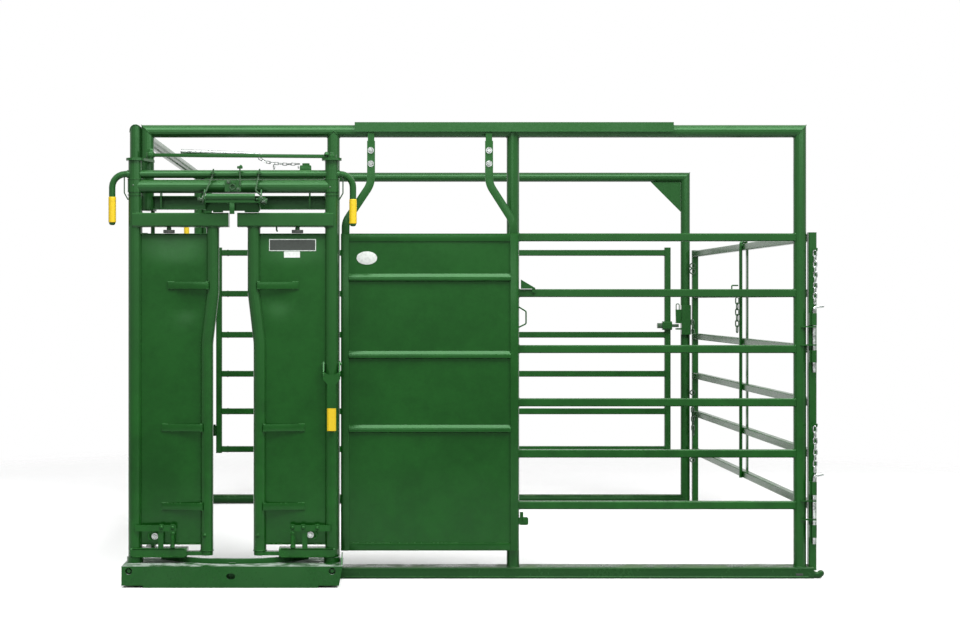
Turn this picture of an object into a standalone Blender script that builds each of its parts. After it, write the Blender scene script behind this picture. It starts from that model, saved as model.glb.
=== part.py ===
# Calving pen: a pipe-framed pen with a head gate at its left, a sliding sheeted door beside it,
# a railed front, and swinging gates at the rear and the right. Metres, +Z up. X runs along the
# front, Y runs into the pen, and the origin is on the floor under the front sill.

import math

import bmesh
import bpy
from mathutils import Matrix, Vector

# Stock sizes
PIPE_R = 0.0603 / 2  # 2 3/8 in pipe of the frame
GATE_PIPE_R = 0.0635 / 2  # 2 1/2 in pipe of the head gate
TUBE = 0.0381  # 1 1/2 in square tube of the rails and gates
TUBE_CORNER = 0.0045
STRAP = 0.006  # flat bar and plate thickness
SHEET = 0.003
GAP = 0.0003  # between pieces that touch
RUN = 0.0008  # clearance round a turning or sliding piece
PIPE_SIDES = 18
ROD_SIDES = 10

# Pen layout
HEADER_Z = 2.1385  # centre of the header pipes
REAR_DROP = 0.0055  # the rear header sits this much lower
GUSSET_REACH = 0.200
DEPTH = 3.05  # front frame plane to rear frame plane
LEG_X = -1.5365  # corner leg of the front header and left post of the rear frame
SIDE_X = -1.5945  # left side frame
SIDE_SHIFT = 0.018  # left side frame stands this far behind the front and rear planes
BAY_POST_X = -0.6466  # post behind the head gate
DOOR_POST_X = 0.2132
RIGHT_X = 1.5875
RAIL_Z = (1.630, 1.363, 1.095, 0.840, 0.595, 0.348)
REAR_RAIL_LIFT = 0.008  # rails of the rear gate over those of the front
SILL_TOP = 0.0545
SILL_FRONT = -0.040
SILL_BACK = 0.078
STAY_WIDTH = 0.040
BEAM_HIGH = HEADER_Z - 0.3105  # channel between the corner leg and the head gate's side post
BEAM_LOW = BEAM_HIGH - 0.0650
BEAM_DEPTH = 0.0400
ROD_FOOT_Z = 0.150  # foot of the squeeze gate's hinge rod

# Head gate layout
GATE_X = -1.1126  # middle of the head gate
GATE_Y = -0.170
POST_OFFSET = 0.4614  # middle to each door post
PAN_LEFT = -1.6195
PAN_RIGHT = -0.5980
PAN_TAPER = 0.017
PAN_TOP = 0.100
PAN_FRONT = -0.306
PAN_BACK = -0.0410
PAN_SLOT = (-1.1150, 0.0537)
SKID = 0.0113
ARC_HALF = 0.350  # half the length of the kick bar, and how deep it bows
ARC_DEPTH = 0.155
ARC_BAR = (0.012, 0.024)
DOOR_POST_LOW = 0.1260
DOOR_POST_HIGH = HEADER_Z - 0.3035
JOURNAL_R = 0.0200
JOURNAL_LENGTH = 0.045
SHAFT_Z = HEADER_Z - 0.2174
SHAFT_R = 0.0190
CROSS_Z = SHAFT_Z - 0.0577
CAP_Z = HEADER_Z - 0.1545
CAP_THICK = 0.012
ARM_HIGH = DOOR_POST_HIGH - 0.0970
ARM_LOW = ARM_HIGH - 0.0657
ARM_DEPTH = 0.0762
ARM_INNER = 0.0203  # middle to each arm's free end
PIPE_TOP_OFFSET = 0.0965
PIPE_FOOT_OFFSET = 0.1245
PIPE_BEND = ((1.365, 0.30), (1.130, 0.30))  # height and bend radius of the neck pipe's two bends
DOOR_SHEET_HIGH = ARM_LOW - 0.0303
DOOR_SHEET_LOW = 0.1845
NECK_PIPE_LOW = 0.1560
DOOR_GUSSET_Z = (1.3965, 0.7260, 0.3620)
BUMPER_OFFSET = 0.3010
LATCH_Y = -0.200
LATCH_Z = ARM_HIGH + 0.0620
LATCH_HALF = 0.1280
LATCH_PIN_R = 0.006
TIE_PIVOT = (-1.5170, -0.0540)
TIE_BAR_HALF = 0.0095
TIE_Z = CAP_Z + CAP_THICK + GAP + TIE_BAR_HALF
TIE_PIN_R = 0.008
FORK_PIN_Z = 1.0300
FORK_GRIP_TOP = 0.8240
FORK_GRIP_LOW = 0.7190

# Lift rods: X at the tip, X where the rod nears the latch, and which end of the latch it holds
LIFT_RODS = ((-1.2021, -1.2334, -1), (-0.9863, -1.0040, 1))
LIFT_SLANT = 0.200
LIFT_Y = GATE_Y - 0.0425
ROD_TIP_Z = SHAFT_Z + 0.0212
ROD_KNEE_Z = SHAFT_Z - 0.0161
EYE_HALF = 0.0025
BOSS_Y = LATCH_Y - 0.0450
LIFT_ROD_R = 0.0042
RING_R = 0.0155

# Sliding door
DOOR_LEFT = -0.6100
DOOR_RIGHT = 0.2343
DOOR_LOW = 0.1383
DOOR_HIGH = 1.6467
DOOR_FRONT = -0.0720
DOOR_BACK = -0.0340
DOOR_STILE = 0.0400
DOOR_RIB_Z = (1.4560, 1.0890, 0.7370)
HANGER_X = (-0.4667, 0.0954)
HANGER_FOOT_X = (-0.5900, 0.2143)
HANGER_WIDTH = 0.0380
HANGER_THICK = 0.0080
HOOK_WIDTH = 0.0310
STRAP_TOP = HEADER_Z - 0.0500
STRAP_BEND_Z = STRAP_TOP - 0.1726
STRAP_FOOT_Z = DOOR_HIGH + 0.0383
TRACK_LEFT = -0.5448
TRACK_RIGHT = 0.9765
TRACK_FRONT = -0.0460
TRACK_BACK = 0.0900
TRACK_LIP_DROP = 0.0059  # the cover's front lip ends this far under the header's centre
TRACK_WALL = 0.0040
SADDLE_THICK = 0.0040  # the hanger between the header and the cover
TRACK_TOP = HEADER_Z + PIPE_R + 2 * GAP + SADDLE_THICK + RUN + TRACK_WALL
ROLLER_R = 0.0160
ROLLER_Y = 0.0620
ROLLER_ROOM = 0.0130  # over the roller, under the cover
ROLLER_Z = TRACK_TOP - TRACK_WALL - ROLLER_ROOM - ROLLER_R

# Gates
REAR_GATE_LEFT = -1.4595
REAR_GATE_RIGHT = 1.4706
REAR_GATE_TOP = 1.6730
REAR_HINGE = (-1.4925, 0.0350)  # X, and the distance behind the rear plane
REAR_HINGE_Z = (1.500, 0.480)
REAR_BOLT_TIP = 1.5380
REAR_BOLT_Z = 1.1630
REAR_BOLT_R = 0.0100
REAR_KNOB_R = 0.0170
BOLT_STANDOFF = 0.0160  # from the gate's end tube to the bolt's middle
BOLT_HOUSING = (0.0400, 0.0220, 0.0280)  # reach to the left, reach to the right and in front, half height
SIDE_GATE_X = 1.6454
SIDE_GATE_REAR = 3.020
SIDE_GATE_TOP = 1.6540
SIDE_PIN = (1.6480, -0.0328)
PIN_R = 0.008
SLEEVE_R = 0.0135
SIDE_SLEEVES = ((1.2673, 1.2098), (1.0900, 1.0326), (0.4624, 0.4000), (0.2563, 0.1965))
SIDE_LUGS = (1.2027, 1.1155, 0.3714, 0.2822)
UPPER_PIN = (1.2960, 0.9850)
LOWER_PIN = (0.4930, 0.1653)
CHAIN_X = 1.6536
CHAIN_Y = -0.0560
CHAIN_TOPS = (1.5640, 0.7280)
CHAIN_FEET = (1.3120, 0.5100)
SQUEEZE_X = -1.5650
SQUEEZE_FRONT = 0.0750
SQUEEZE_REAR = 1.9500
SQUEEZE_HINGE = (-1.5170, 0.0400)
SQUEEZE_ROD_R = 0.010
SQUEEZE_SLEEVES = (1.480, 0.450)
LEVER_Y = 2.0300
LEVER_Z = 1.5600
LEVER_TOP = 1.8020
FRONT_FOOT = 0.0370  # the side gate's front leg clears the sill's hook
REAR_FOOT = 0.0060

COLLECTION = "Calving pen"
CUTTERS = "Cutters"
FINISHES = {
    "green_paint": ((0.030, 0.125, 0.040), 0.32, 0.0),
    "zinc": ((0.55, 0.57, 0.58), 0.35, 0.9),
    "yellow_grip": ((0.85, 0.55, 0.02), 0.5, 0.0),
    "black_rubber": ((0.015, 0.018, 0.015), 0.7, 0.0),
}


def clear_scene():
    for obj in list(bpy.data.objects):
        bpy.data.objects.remove(obj, do_unlink=True)


def make_collection(name):
    collection = bpy.data.collections.new(name)
    bpy.context.scene.collection.children.link(collection)
    return collection


def make_material(name, colour, roughness, metallic):
    material = bpy.data.materials.new(name)
    material.use_nodes = True
    shader = material.node_tree.nodes["Principled BSDF"]
    shader.inputs["Base Color"].default_value = (*colour, 1.0)
    shader.inputs["Roughness"].default_value = roughness
    shader.inputs["Metallic"].default_value = metallic
    return material


# Shapes. Each returns an object that join() and named() turn into a piece.


def from_bmesh(bm):
    mesh = bpy.data.meshes.new("shape")
    bm.to_mesh(mesh)
    bm.free()
    shape = bpy.data.objects.new("shape", mesh)
    bpy.context.scene.collection.objects.link(shape)
    return shape


def box(low, high, corner=0.0, along=2):
    """A box between two corners, with the edges along one axis rounded where corner is given."""
    size = [abs(b - a) for a, b in zip(low, high)]
    middle = [(a + b) / 2 for a, b in zip(low, high)]
    bm = bmesh.new()
    bmesh.ops.create_cube(bm, size=1.0)
    bmesh.ops.scale(bm, vec=size, verts=bm.verts)
    bmesh.ops.translate(bm, vec=middle, verts=bm.verts)
    if corner > 0:
        edges = [e for e in bm.edges if abs((e.verts[0].co - e.verts[1].co)[along]) > size[along] / 2]
        bmesh.ops.bevel(bm, geom=edges, offset=corner, segments=1, affect="EDGES")
    return from_bmesh(bm)


def tube(start, end, width=TUBE, height=TUBE, corner=TUBE_CORNER):
    """A square or rectangular tube between two points on a line along X, Y or Z."""
    along = max(range(3), key=lambda i: abs(end[i] - start[i]))
    across = [i for i in range(3) if i != along]
    low, high = list(start), list(end)
    for i, half in zip(across, (width / 2, height / 2)):
        low[i] -= half
        high[i] += half
    return box(low, high, corner, along)


def pipe(start, end, radius, sides=PIPE_SIDES, start_plane=None, end_plane=None):
    """A round bar between two points. A plane's normal at an end cuts that end at a slant."""
    start, end = Vector(start), Vector(end)
    run = end - start
    direction = run.normalized()
    bm = bmesh.new()
    bmesh.ops.create_cone(
        bm, cap_ends=True, segments=sides, radius1=radius, radius2=radius, depth=run.length
    )
    turn = direction.to_track_quat("Z", "Y").to_matrix().to_4x4()
    bmesh.ops.transform(bm, matrix=Matrix.Translation((start + end) / 2) @ turn, verts=bm.verts)
    for vertex in bm.verts:
        at_end = (vertex.co - start).dot(direction) > run.length / 2
        plane, point = (end_plane, end) if at_end else (start_plane, start)
        if plane is not None:
            normal = Vector(plane)
            vertex.co += direction * (normal.dot(point - vertex.co) / normal.dot(direction))
    return from_bmesh(bm)


def rounded_path(points, radius, steps=5):
    """The points of a polyline with each corner replaced by an arc."""
    path = [Vector(points[0])]
    for before, corner, after in zip(points, points[1:], points[2:]):
        corner = Vector(corner)
        back = (Vector(before) - corner).normalized()
        ahead = (Vector(after) - corner).normalized()
        half_angle = back.angle(ahead) / 2
        reach = radius / math.tan(half_angle)
        middle = (back + ahead).normalized()
        centre = corner + middle * (radius / math.sin(half_angle))
        first = corner + back * reach - centre
        last = corner + ahead * reach - centre
        sweep = first.angle(last)
        for step in range(steps + 1):
            share = step / steps
            path.append(
                centre
                + first * (math.sin((1 - share) * sweep) / math.sin(sweep))
                + last * (math.sin(share * sweep) / math.sin(sweep))
            )
    path.append(Vector(points[-1]))
    return path


def bar_along(path, radius, resolution=2, closed=False):
    """A round bar that follows a path of points."""
    curve = bpy.data.curves.new("path", "CURVE")
    curve.dimensions = "3D"
    curve.bevel_depth = radius
    curve.bevel_resolution = resolution
    curve.use_fill_caps = not closed
    spline = curve.splines.new("POLY")
    spline.points.add(len(path) - 1)
    for point, place in zip(spline.points, path):
        point.co = (*place, 1.0)
    spline.use_cyclic_u = closed
    return curve_to_mesh(curve)


def curve_to_mesh(curve, matrix=Matrix.Identity(4)):
    guide = bpy.data.objects.new("guide", curve)
    bpy.context.scene.collection.objects.link(guide)
    bpy.context.view_layer.update()
    graph = bpy.context.evaluated_depsgraph_get()
    mesh = bpy.data.meshes.new_from_object(guide.evaluated_get(graph))
    bpy.data.objects.remove(guide)
    bm = bmesh.new()
    bm.from_mesh(mesh)
    bpy.data.meshes.remove(mesh)
    bmesh.ops.remove_doubles(bm, verts=bm.verts, dist=0.00002)
    bmesh.ops.transform(bm, matrix=matrix, verts=bm.verts)
    bmesh.ops.recalc_face_normals(bm, faces=bm.faces)
    return from_bmesh(bm)


def plate(outline, low, high, normal="Z"):
    """A flat outline extruded from low to high along an axis.

    Its points are (Y, Z) for the X axis, (X, Z) for Y and (X, Y) for Z.
    """
    curve = bpy.data.curves.new("outline", "CURVE")
    curve.dimensions = "2D"
    curve.fill_mode = "BOTH"
    curve.extrude = abs(high - low) / 2
    spline = curve.splines.new("POLY")
    spline.points.add(len(outline) - 1)
    for point, (a, b) in zip(spline.points, outline):
        point.co = (a, b, 0.0, 1.0)
    spline.use_cyclic_u = True
    middle = (low + high) / 2
    axes = {
        "X": Matrix(((0, 0, 1, middle), (1, 0, 0, 0), (0, 1, 0, 0), (0, 0, 0, 1))),
        "Y": Matrix(((1, 0, 0, 0), (0, 0, -1, middle), (0, 1, 0, 0), (0, 0, 0, 1))),
        "Z": Matrix(((1, 0, 0, 0), (0, 1, 0, 0), (0, 0, 1, middle), (0, 0, 0, 1))),
    }
    return curve_to_mesh(curve, axes[normal])


def arc(centre, radius, start, end, steps):
    """Points on an arc, with its angles in degrees."""
    angles = [math.radians(start + (end - start) * i / steps) for i in range(steps + 1)]
    return [(centre[0] + radius * math.cos(a), centre[1] + radius * math.sin(a)) for a in angles]


def link_pair_outline(first, first_radius, second, second_radius, steps=6):
    """The outline round two circles and the straight lines between them."""
    dx, dy = second[0] - first[0], second[1] - first[1]
    heading = math.degrees(math.atan2(dy, dx))
    lean = math.degrees(math.acos((first_radius - second_radius) / math.hypot(dx, dy)))
    return arc(first, first_radius, heading + lean, heading + 360 - lean, steps) + arc(
        second, second_radius, heading - lean, heading + lean, steps
    )


def boolean(shape, tools, operation):
    for tool in tools:
        modifier = shape.modifiers.new(operation.title(), "BOOLEAN")
        modifier.operation = operation
        modifier.object = tool
    bpy.context.view_layer.update()
    graph = bpy.context.evaluated_depsgraph_get()
    mesh = bpy.data.meshes.new_from_object(shape.evaluated_get(graph))
    shape.modifiers.clear()
    shape.data = mesh
    for tool in tools:
        bpy.data.objects.remove(tool)
    return shape


def cut(shape, *cutters):
    return boolean(shape, cutters, "DIFFERENCE")


def join(first, *others):
    return boolean(first, others, "UNION") if others else first


def named(name, finish, shape, pivot=(0.0, 0.0, 0.0)):
    """Puts a finished shape among the parts, with its origin on the pivot that it moves about."""
    shape.name = name
    shape.data.name = name
    shape.data.transform(Matrix.Translation(-Vector(pivot)))
    shape.location = pivot
    shape.data.materials.clear()
    shape.data.materials.append(materials[finish])
    shape.data.shade_smooth()
    shape.data.set_sharp_from_angle(angle=math.radians(35))
    for collection in list(shape.users_collection):
        collection.objects.unlink(shape)
    parts.objects.link(shape)
    return shape


# Frame of the pen


def header_cope(x, y=0.0, z=HEADER_Z):
    """The cutter that fits an upright's top to the underside of a header along X."""
    reach = 2 * PIPE_R
    return pipe((x - reach, y, z), (x + reach, y, z), PIPE_R + GAP)


def upright_cope(x, y, low, high):
    """The cutter that fits a rail's end to an upright."""
    return pipe((x, y, low), (x, y, high), PIPE_R + GAP)


def make_front_header():
    slant = GAP / 2 * math.sqrt(2)
    start = (LEG_X + slant, 0, HEADER_Z)
    end = (RIGHT_X - slant, 0, HEADER_Z)
    named(
        "front_header",
        "green_paint",
        pipe(start, end, PIPE_R, start_plane=(1, 0, 1), end_plane=(-1, 0, 1)),
    )


def make_front_right_post():
    slant = GAP / 2 * math.sqrt(2)
    start = (RIGHT_X, 0, HEADER_Z - slant)
    end = (RIGHT_X, 0, SILL_TOP + GAP)
    post = pipe(start, end, PIPE_R, start_plane=(-1, 0, 1))
    lug_r = SLEEVE_R - 0.0005
    lugs = []
    for z in SIDE_LUGS:
        outline = link_pair_outline((RIGHT_X + 0.006, -0.030), 0.0100, SIDE_PIN, lug_r, 3)
        lug = plate(outline, z - STRAP / 2, z + STRAP / 2)
        hole = pipe(
            (*SIDE_PIN, z - STRAP), (*SIDE_PIN, z + STRAP), PIN_R + RUN, ROD_SIDES
        )
        lugs.append(cut(lug, hole))
    named("front_right_post", "green_paint", join(post, *lugs))


def make_front_rail_panel():
    top = HEADER_Z
    post = cut(
        pipe((DOOR_POST_X, 0, SILL_TOP + GAP), (DOOR_POST_X, 0, top), PIPE_R),
        header_cope(DOOR_POST_X),
    )
    rails = [tube((DOOR_POST_X, 0, z), (RIGHT_X, 0, z)) for z in RAIL_Z]
    ends = [upright_cope(RIGHT_X, 0, z - TUBE, z + TUBE) for z in RAIL_Z]
    rails = [cut(rail, end) for rail, end in zip(rails, ends)]
    named("front_rail_panel", "green_paint", join(post, *rails))


def make_headgate_side_post():
    post = cut(
        pipe((BAY_POST_X, 0, 0), (BAY_POST_X, 0, HEADER_Z), PIPE_R), header_cope(BAY_POST_X)
    )
    named("headgate_side_post", "green_paint", post)


def make_left_side_frame():
    slant = GAP / 2 * math.sqrt(2)
    front = SIDE_SHIFT
    rear = DEPTH + SIDE_SHIFT
    named(
        "left_front_post",
        "green_paint",
        pipe((SIDE_X, front, 0), (SIDE_X, front, HEADER_Z - slant), PIPE_R, end_plane=(0, 1, 1)),
    )
    named(
        "left_rear_post",
        "green_paint",
        pipe((SIDE_X, rear, 0), (SIDE_X, rear, HEADER_Z - slant), PIPE_R, end_plane=(0, -1, 1)),
    )
    top = pipe(
        (SIDE_X, front + slant, HEADER_Z),
        (SIDE_X, rear - slant, HEADER_Z),
        PIPE_R,
        start_plane=(0, 1, 1),
        end_plane=(0, -1, 1),
    )
    neighbour = upright_cope(LEG_X, DEPTH, HEADER_Z - 0.1, HEADER_Z + 0.1)
    named("left_top_tube", "green_paint", cut(top, neighbour))
    rail_x = SIDE_X - PIPE_R + TUBE / 2  # the rails are flush with the posts' outer side
    rails = []
    for z in RAIL_Z:
        ends = [upright_cope(SIDE_X, y, z - TUBE, z + TUBE) for y in (front, rear)]
        rails.append(cut(tube((rail_x, front, z), (rail_x, rear, z)), *ends))
    middle = (front + rear) / 2
    outer = rail_x - TUBE / 2
    stay = box(
        (outer - STRAP, middle - STAY_WIDTH / 2, RAIL_Z[-1] - TUBE / 2),
        (outer + 0.001, middle + STAY_WIDTH / 2, RAIL_Z[0] + TUBE / 2),
    )
    named("left_side_rails", "green_paint", join(stay, *rails))


def make_header_corner_leg():
    """The short left leg of the front header, with the hinge rod of the squeeze gate under it."""
    slant = GAP / 2 * math.sqrt(2)
    low = BEAM_LOW
    start = (LEG_X, 0, HEADER_Z - slant)
    leg = pipe(start, (LEG_X, 0, low), PIPE_R, start_plane=(1, 0, 1))
    plan = link_pair_outline((LEG_X, 0), PIPE_R - 0.003, SQUEEZE_HINGE, 0.018)
    foot = plate(plan, low - STRAP, low - GAP)
    stub = pipe((LEG_X, 0, low - STRAP / 2), (LEG_X, 0, low + 0.01), PIPE_R - 0.005, 16)
    rod = pipe(
        (*SQUEEZE_HINGE, low - STRAP / 2), (*SQUEEZE_HINGE, ROD_FOOT_Z), SQUEEZE_ROD_R, ROD_SIDES
    )
    rest = box(
        (SQUEEZE_HINGE[0] - 0.030, SQUEEZE_HINGE[1] - 0.030, ROD_FOOT_Z - STRAP),
        (SQUEEZE_HINGE[0] + 0.016, SQUEEZE_HINGE[1] + 0.016, ROD_FOOT_Z + 0.001),
    )
    rest = cut(rest, upright_cope(SIDE_X, SIDE_SHIFT, ROD_FOOT_Z - 0.1, ROD_FOOT_Z + 0.1))
    named("header_corner_leg", "green_paint", join(leg, foot, stub, rod, rest))


def make_rear_beam():
    """The channel between the corner leg and the post behind the head gate."""
    left, right = LEG_X + PIPE_R, BAY_POST_X - PIPE_R
    wall = 0.005
    outline = [
        (-BEAM_DEPTH / 2, BEAM_LOW),
        (BEAM_DEPTH / 2, BEAM_LOW),
        (BEAM_DEPTH / 2, BEAM_HIGH),
        (-BEAM_DEPTH / 2, BEAM_HIGH),
        (-BEAM_DEPTH / 2, BEAM_HIGH - wall),
        (BEAM_DEPTH / 2 - wall, BEAM_HIGH - wall),
        (BEAM_DEPTH / 2 - wall, BEAM_LOW + wall),
        (-BEAM_DEPTH / 2, BEAM_LOW + wall),
    ]
    beam = plate(outline, left - 0.02, right + 0.02, "X")
    beam = cut(
        beam,
        upright_cope(LEG_X, 0, BEAM_LOW - 0.1, BEAM_HIGH + 0.1),
        upright_cope(BAY_POST_X, 0, BEAM_LOW - 0.1, BEAM_HIGH + 0.1),
    )
    ribs = [
        box(
            (x - 0.004, -BEAM_DEPTH / 2 - 0.006, BEAM_LOW + 0.001),
            (x + 0.004, BEAM_DEPTH / 2 - 0.001, BEAM_HIGH + 0.014),
        )
        for x in (LEG_X + 0.066, BAY_POST_X - 0.113)
    ]
    named("rear_beam", "green_paint", join(beam, *ribs))


def make_front_sill():
    left = BAY_POST_X + PIPE_R + GAP
    right = RIGHT_X + PIPE_R + 0.005
    sill = box((left, SILL_FRONT, 0.0), (right, SILL_BACK, SILL_TOP), 0.008, 0)
    hook_r = 0.0095
    hook_y = SILL_FRONT + hook_r
    hook = bar_along(
        rounded_path(
            [
                (right - 0.015, hook_y, 0.024),
                (right + 0.035, hook_y, 0.0150),
                (right + 0.068, hook_y, 0.0105),
                (right + 0.088, hook_y, 0.0270),
            ],
            0.022,
            3,
        ),
        hook_r,
    )
    named("front_sill", "green_paint", join(sill, hook))


def make_rear_frame():
    z = HEADER_Z - REAR_DROP
    slant = GAP / 2 * math.sqrt(2)
    for name, x, lean in (("rear_left_post", LEG_X, 1), ("rear_right_post", RIGHT_X, -1)):
        post = pipe(
            (x, DEPTH, z - slant), (x, DEPTH, 0), PIPE_R, start_plane=(lean, 0, 1)
        )
        extras = rear_hinge_lugs() if x == LEG_X else []
        named(name, "green_paint", join(post, *extras))
    header = pipe(
        (LEG_X + slant, DEPTH, z),
        (RIGHT_X - slant, DEPTH, z),
        PIPE_R,
        start_plane=(1, 0, 1),
        end_plane=(-1, 0, 1),
    )
    reach = GUSSET_REACH
    corner_x, corner_z = RIGHT_X - PIPE_R - GAP, z - PIPE_R + 0.004
    gusset = plate(
        [(corner_x, corner_z), (corner_x - reach, corner_z), (corner_x, corner_z - reach)],
        DEPTH - STRAP / 2,
        DEPTH + STRAP / 2,
        "Y",
    )
    named("rear_header", "green_paint", join(header, gusset))
    sill = pipe((LEG_X, DEPTH, PIPE_R), (RIGHT_X, DEPTH, PIPE_R), PIPE_R)
    ends = [upright_cope(x, DEPTH, -0.1, 0.2) for x in (LEG_X, RIGHT_X)]
    named("rear_sill", "green_paint", cut(sill, *ends))


def rear_hinge_lugs():
    """Two lugs with upright pins on the rear left post."""
    pivot = (REAR_HINGE[0], DEPTH + REAR_HINGE[1])
    lugs = []
    for z in REAR_HINGE_Z:
        low = z - 0.034
        lugs.append(
            plate(link_pair_outline((LEG_X, DEPTH + 0.006), 0.018, pivot, 0.0135), low - STRAP, low)
        )
        lugs.append(pipe((*pivot, low - STRAP / 2), (*pivot, z + 0.034), PIN_R, ROD_SIDES))
    return lugs


def make_door_track():
    """The cover over the header that the door's rollers run in."""
    wall = TRACK_WALL
    outline = [
        (TRACK_FRONT, HEADER_Z - TRACK_LIP_DROP),
        (TRACK_FRONT + wall, HEADER_Z - TRACK_LIP_DROP),
        (TRACK_FRONT + wall, TRACK_TOP - wall),
        (TRACK_BACK - wall, TRACK_TOP - wall),
        (TRACK_BACK - wall, ROLLER_Z - ROLLER_R - RUN),
        (ROLLER_Y + 0.010, ROLLER_Z - ROLLER_R - RUN),
        (ROLLER_Y + 0.010, ROLLER_Z - ROLLER_R - RUN - wall),
        (TRACK_BACK, ROLLER_Z - ROLLER_R - RUN - wall),
        (TRACK_BACK, TRACK_TOP),
        (TRACK_FRONT, TRACK_TOP),
    ]
    track = plate(outline, TRACK_LEFT, TRACK_RIGHT, "X")
    spacers = [
        box((x, -0.012, HEADER_Z + PIPE_R - 0.010), (x + 0.04, 0.012, TRACK_TOP - wall + 0.001))
        for x in (TRACK_LEFT + 0.01, TRACK_RIGHT - 0.05)
    ]
    spacers = [
        cut(s, pipe((TRACK_LEFT, 0, HEADER_Z), (TRACK_RIGHT, 0, HEADER_Z), PIPE_R + GAP))
        for s in spacers
    ]
    named("door_track", "green_paint", join(track, *spacers))


def make_door_side_guide():
    """The bracket on the door post whose bolt keeps the door off the rails."""
    z = 0.2740
    left = DOOR_POST_X + PIPE_R - 0.004
    right = 0.2850
    y = -0.0230
    bracket = box((left, y - 0.003, z - 0.019), (right, y + 0.003, z + 0.019), 0.006, 1)
    block = box((left + 0.006, y + 0.002, z + 0.012), (left + 0.022, y + 0.016, z + 0.042))
    bolt = pipe((0.2655, y - 0.0085, z), (0.2655, y + 0.014, z), 0.0085, ROD_SIDES)
    web = box((left - 0.010, y + 0.0025, z - 0.015), (left + 0.020, y + 0.010, z + 0.015))
    guide = join(bracket, block, bolt, web)
    cutter = upright_cope(DOOR_POST_X, 0, z - 0.2, z + 0.2)
    named("door_side_guide", "green_paint", cut(guide, cutter))


# Head gate


def make_headgate_pan():
    left, right = PAN_LEFT, PAN_RIGHT
    outline = [(left, SKID), (right - PAN_TAPER, SKID), (right, PAN_TOP), (left, PAN_TOP)]
    pan = plate(outline, PAN_FRONT, PAN_BACK, "Y")
    skid_low = (left + 0.0992, PAN_FRONT + 0.001, 0.0)
    skid = box(skid_low, (right - 0.1130, PAN_BACK - 0.02, SKID + 0.001))
    (x, z), slot_r, half_run = PAN_SLOT, 0.0138, 0.0074
    ends = (arc((x - half_run, z), slot_r, 90, 270, 5), arc((x + half_run, z), slot_r, -90, 90, 5))
    slot = plate(ends[0] + ends[1], PAN_FRONT - 0.01, PAN_FRONT + 0.05, "Y")
    notches, bolts = [], []
    for x in (GATE_X - POST_OFFSET - 0.012, GATE_X + POST_OFFSET + 0.005):
        z = PAN_TOP - 0.022
        notches.append(pipe((x, PAN_FRONT - 0.01, z), (x, PAN_FRONT + 0.030, z), 0.0165, 12))
        bolts.append(pipe((x, PAN_FRONT + 0.006, z), (x, PAN_FRONT + 0.040, z), 0.009, 6))
    pan = join(cut(join(pan, skid), slot, *notches), *bolts)
    seats = []
    for x in (GATE_X - POST_OFFSET, GATE_X + POST_OFFSET):
        seats.append(pipe((x, GATE_Y, PAN_TOP - 0.01), (x, GATE_Y, DOOR_POST_LOW - GAP), 0.0380))
        top = DOOR_POST_LOW + JOURNAL_LENGTH
        seats.append(pipe((x, GATE_Y, DOOR_POST_LOW - 0.01), (x, GATE_Y, top), JOURNAL_R, 16))
    tab_low = (GATE_X - 0.016, PAN_FRONT + 0.060, PAN_TOP - 0.001)
    tab = box(tab_low, (GATE_X + 0.016, PAN_FRONT + 0.066, PAN_TOP + 0.008))
    ear = [
        (PAN_FRONT + 0.046, PAN_TOP - 0.005),
        (PAN_BACK - 0.049, PAN_TOP - 0.005),
        (PAN_BACK - 0.049, PAN_TOP + 0.034),
        (PAN_FRONT + 0.076, PAN_TOP + 0.034),
    ]
    ear = plate(ear, PAN_RIGHT - 0.008, PAN_RIGHT - 0.002, "X")
    named("headgate_pan", "green_paint", join(pan, *seats, tab, ear))


def make_threshold_arc():
    """The curved kick bar across the pan."""
    radius = (ARC_HALF**2 + ARC_DEPTH**2) / (2 * ARC_DEPTH)
    spread = math.degrees(math.asin(ARC_HALF / radius))
    centre = (GATE_X, PAN_FRONT + 0.075 + radius)
    wide, tall = ARC_BAR
    outer = arc(centre, radius, 270 - spread, 270 + spread, 16)
    inner = arc(centre, radius - wide, 270 + spread, 270 - spread, 16)
    bar = plate(outer + inner, PAN_TOP + GAP, PAN_TOP + tall)
    named("threshold_arc", "green_paint", bar)


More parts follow.
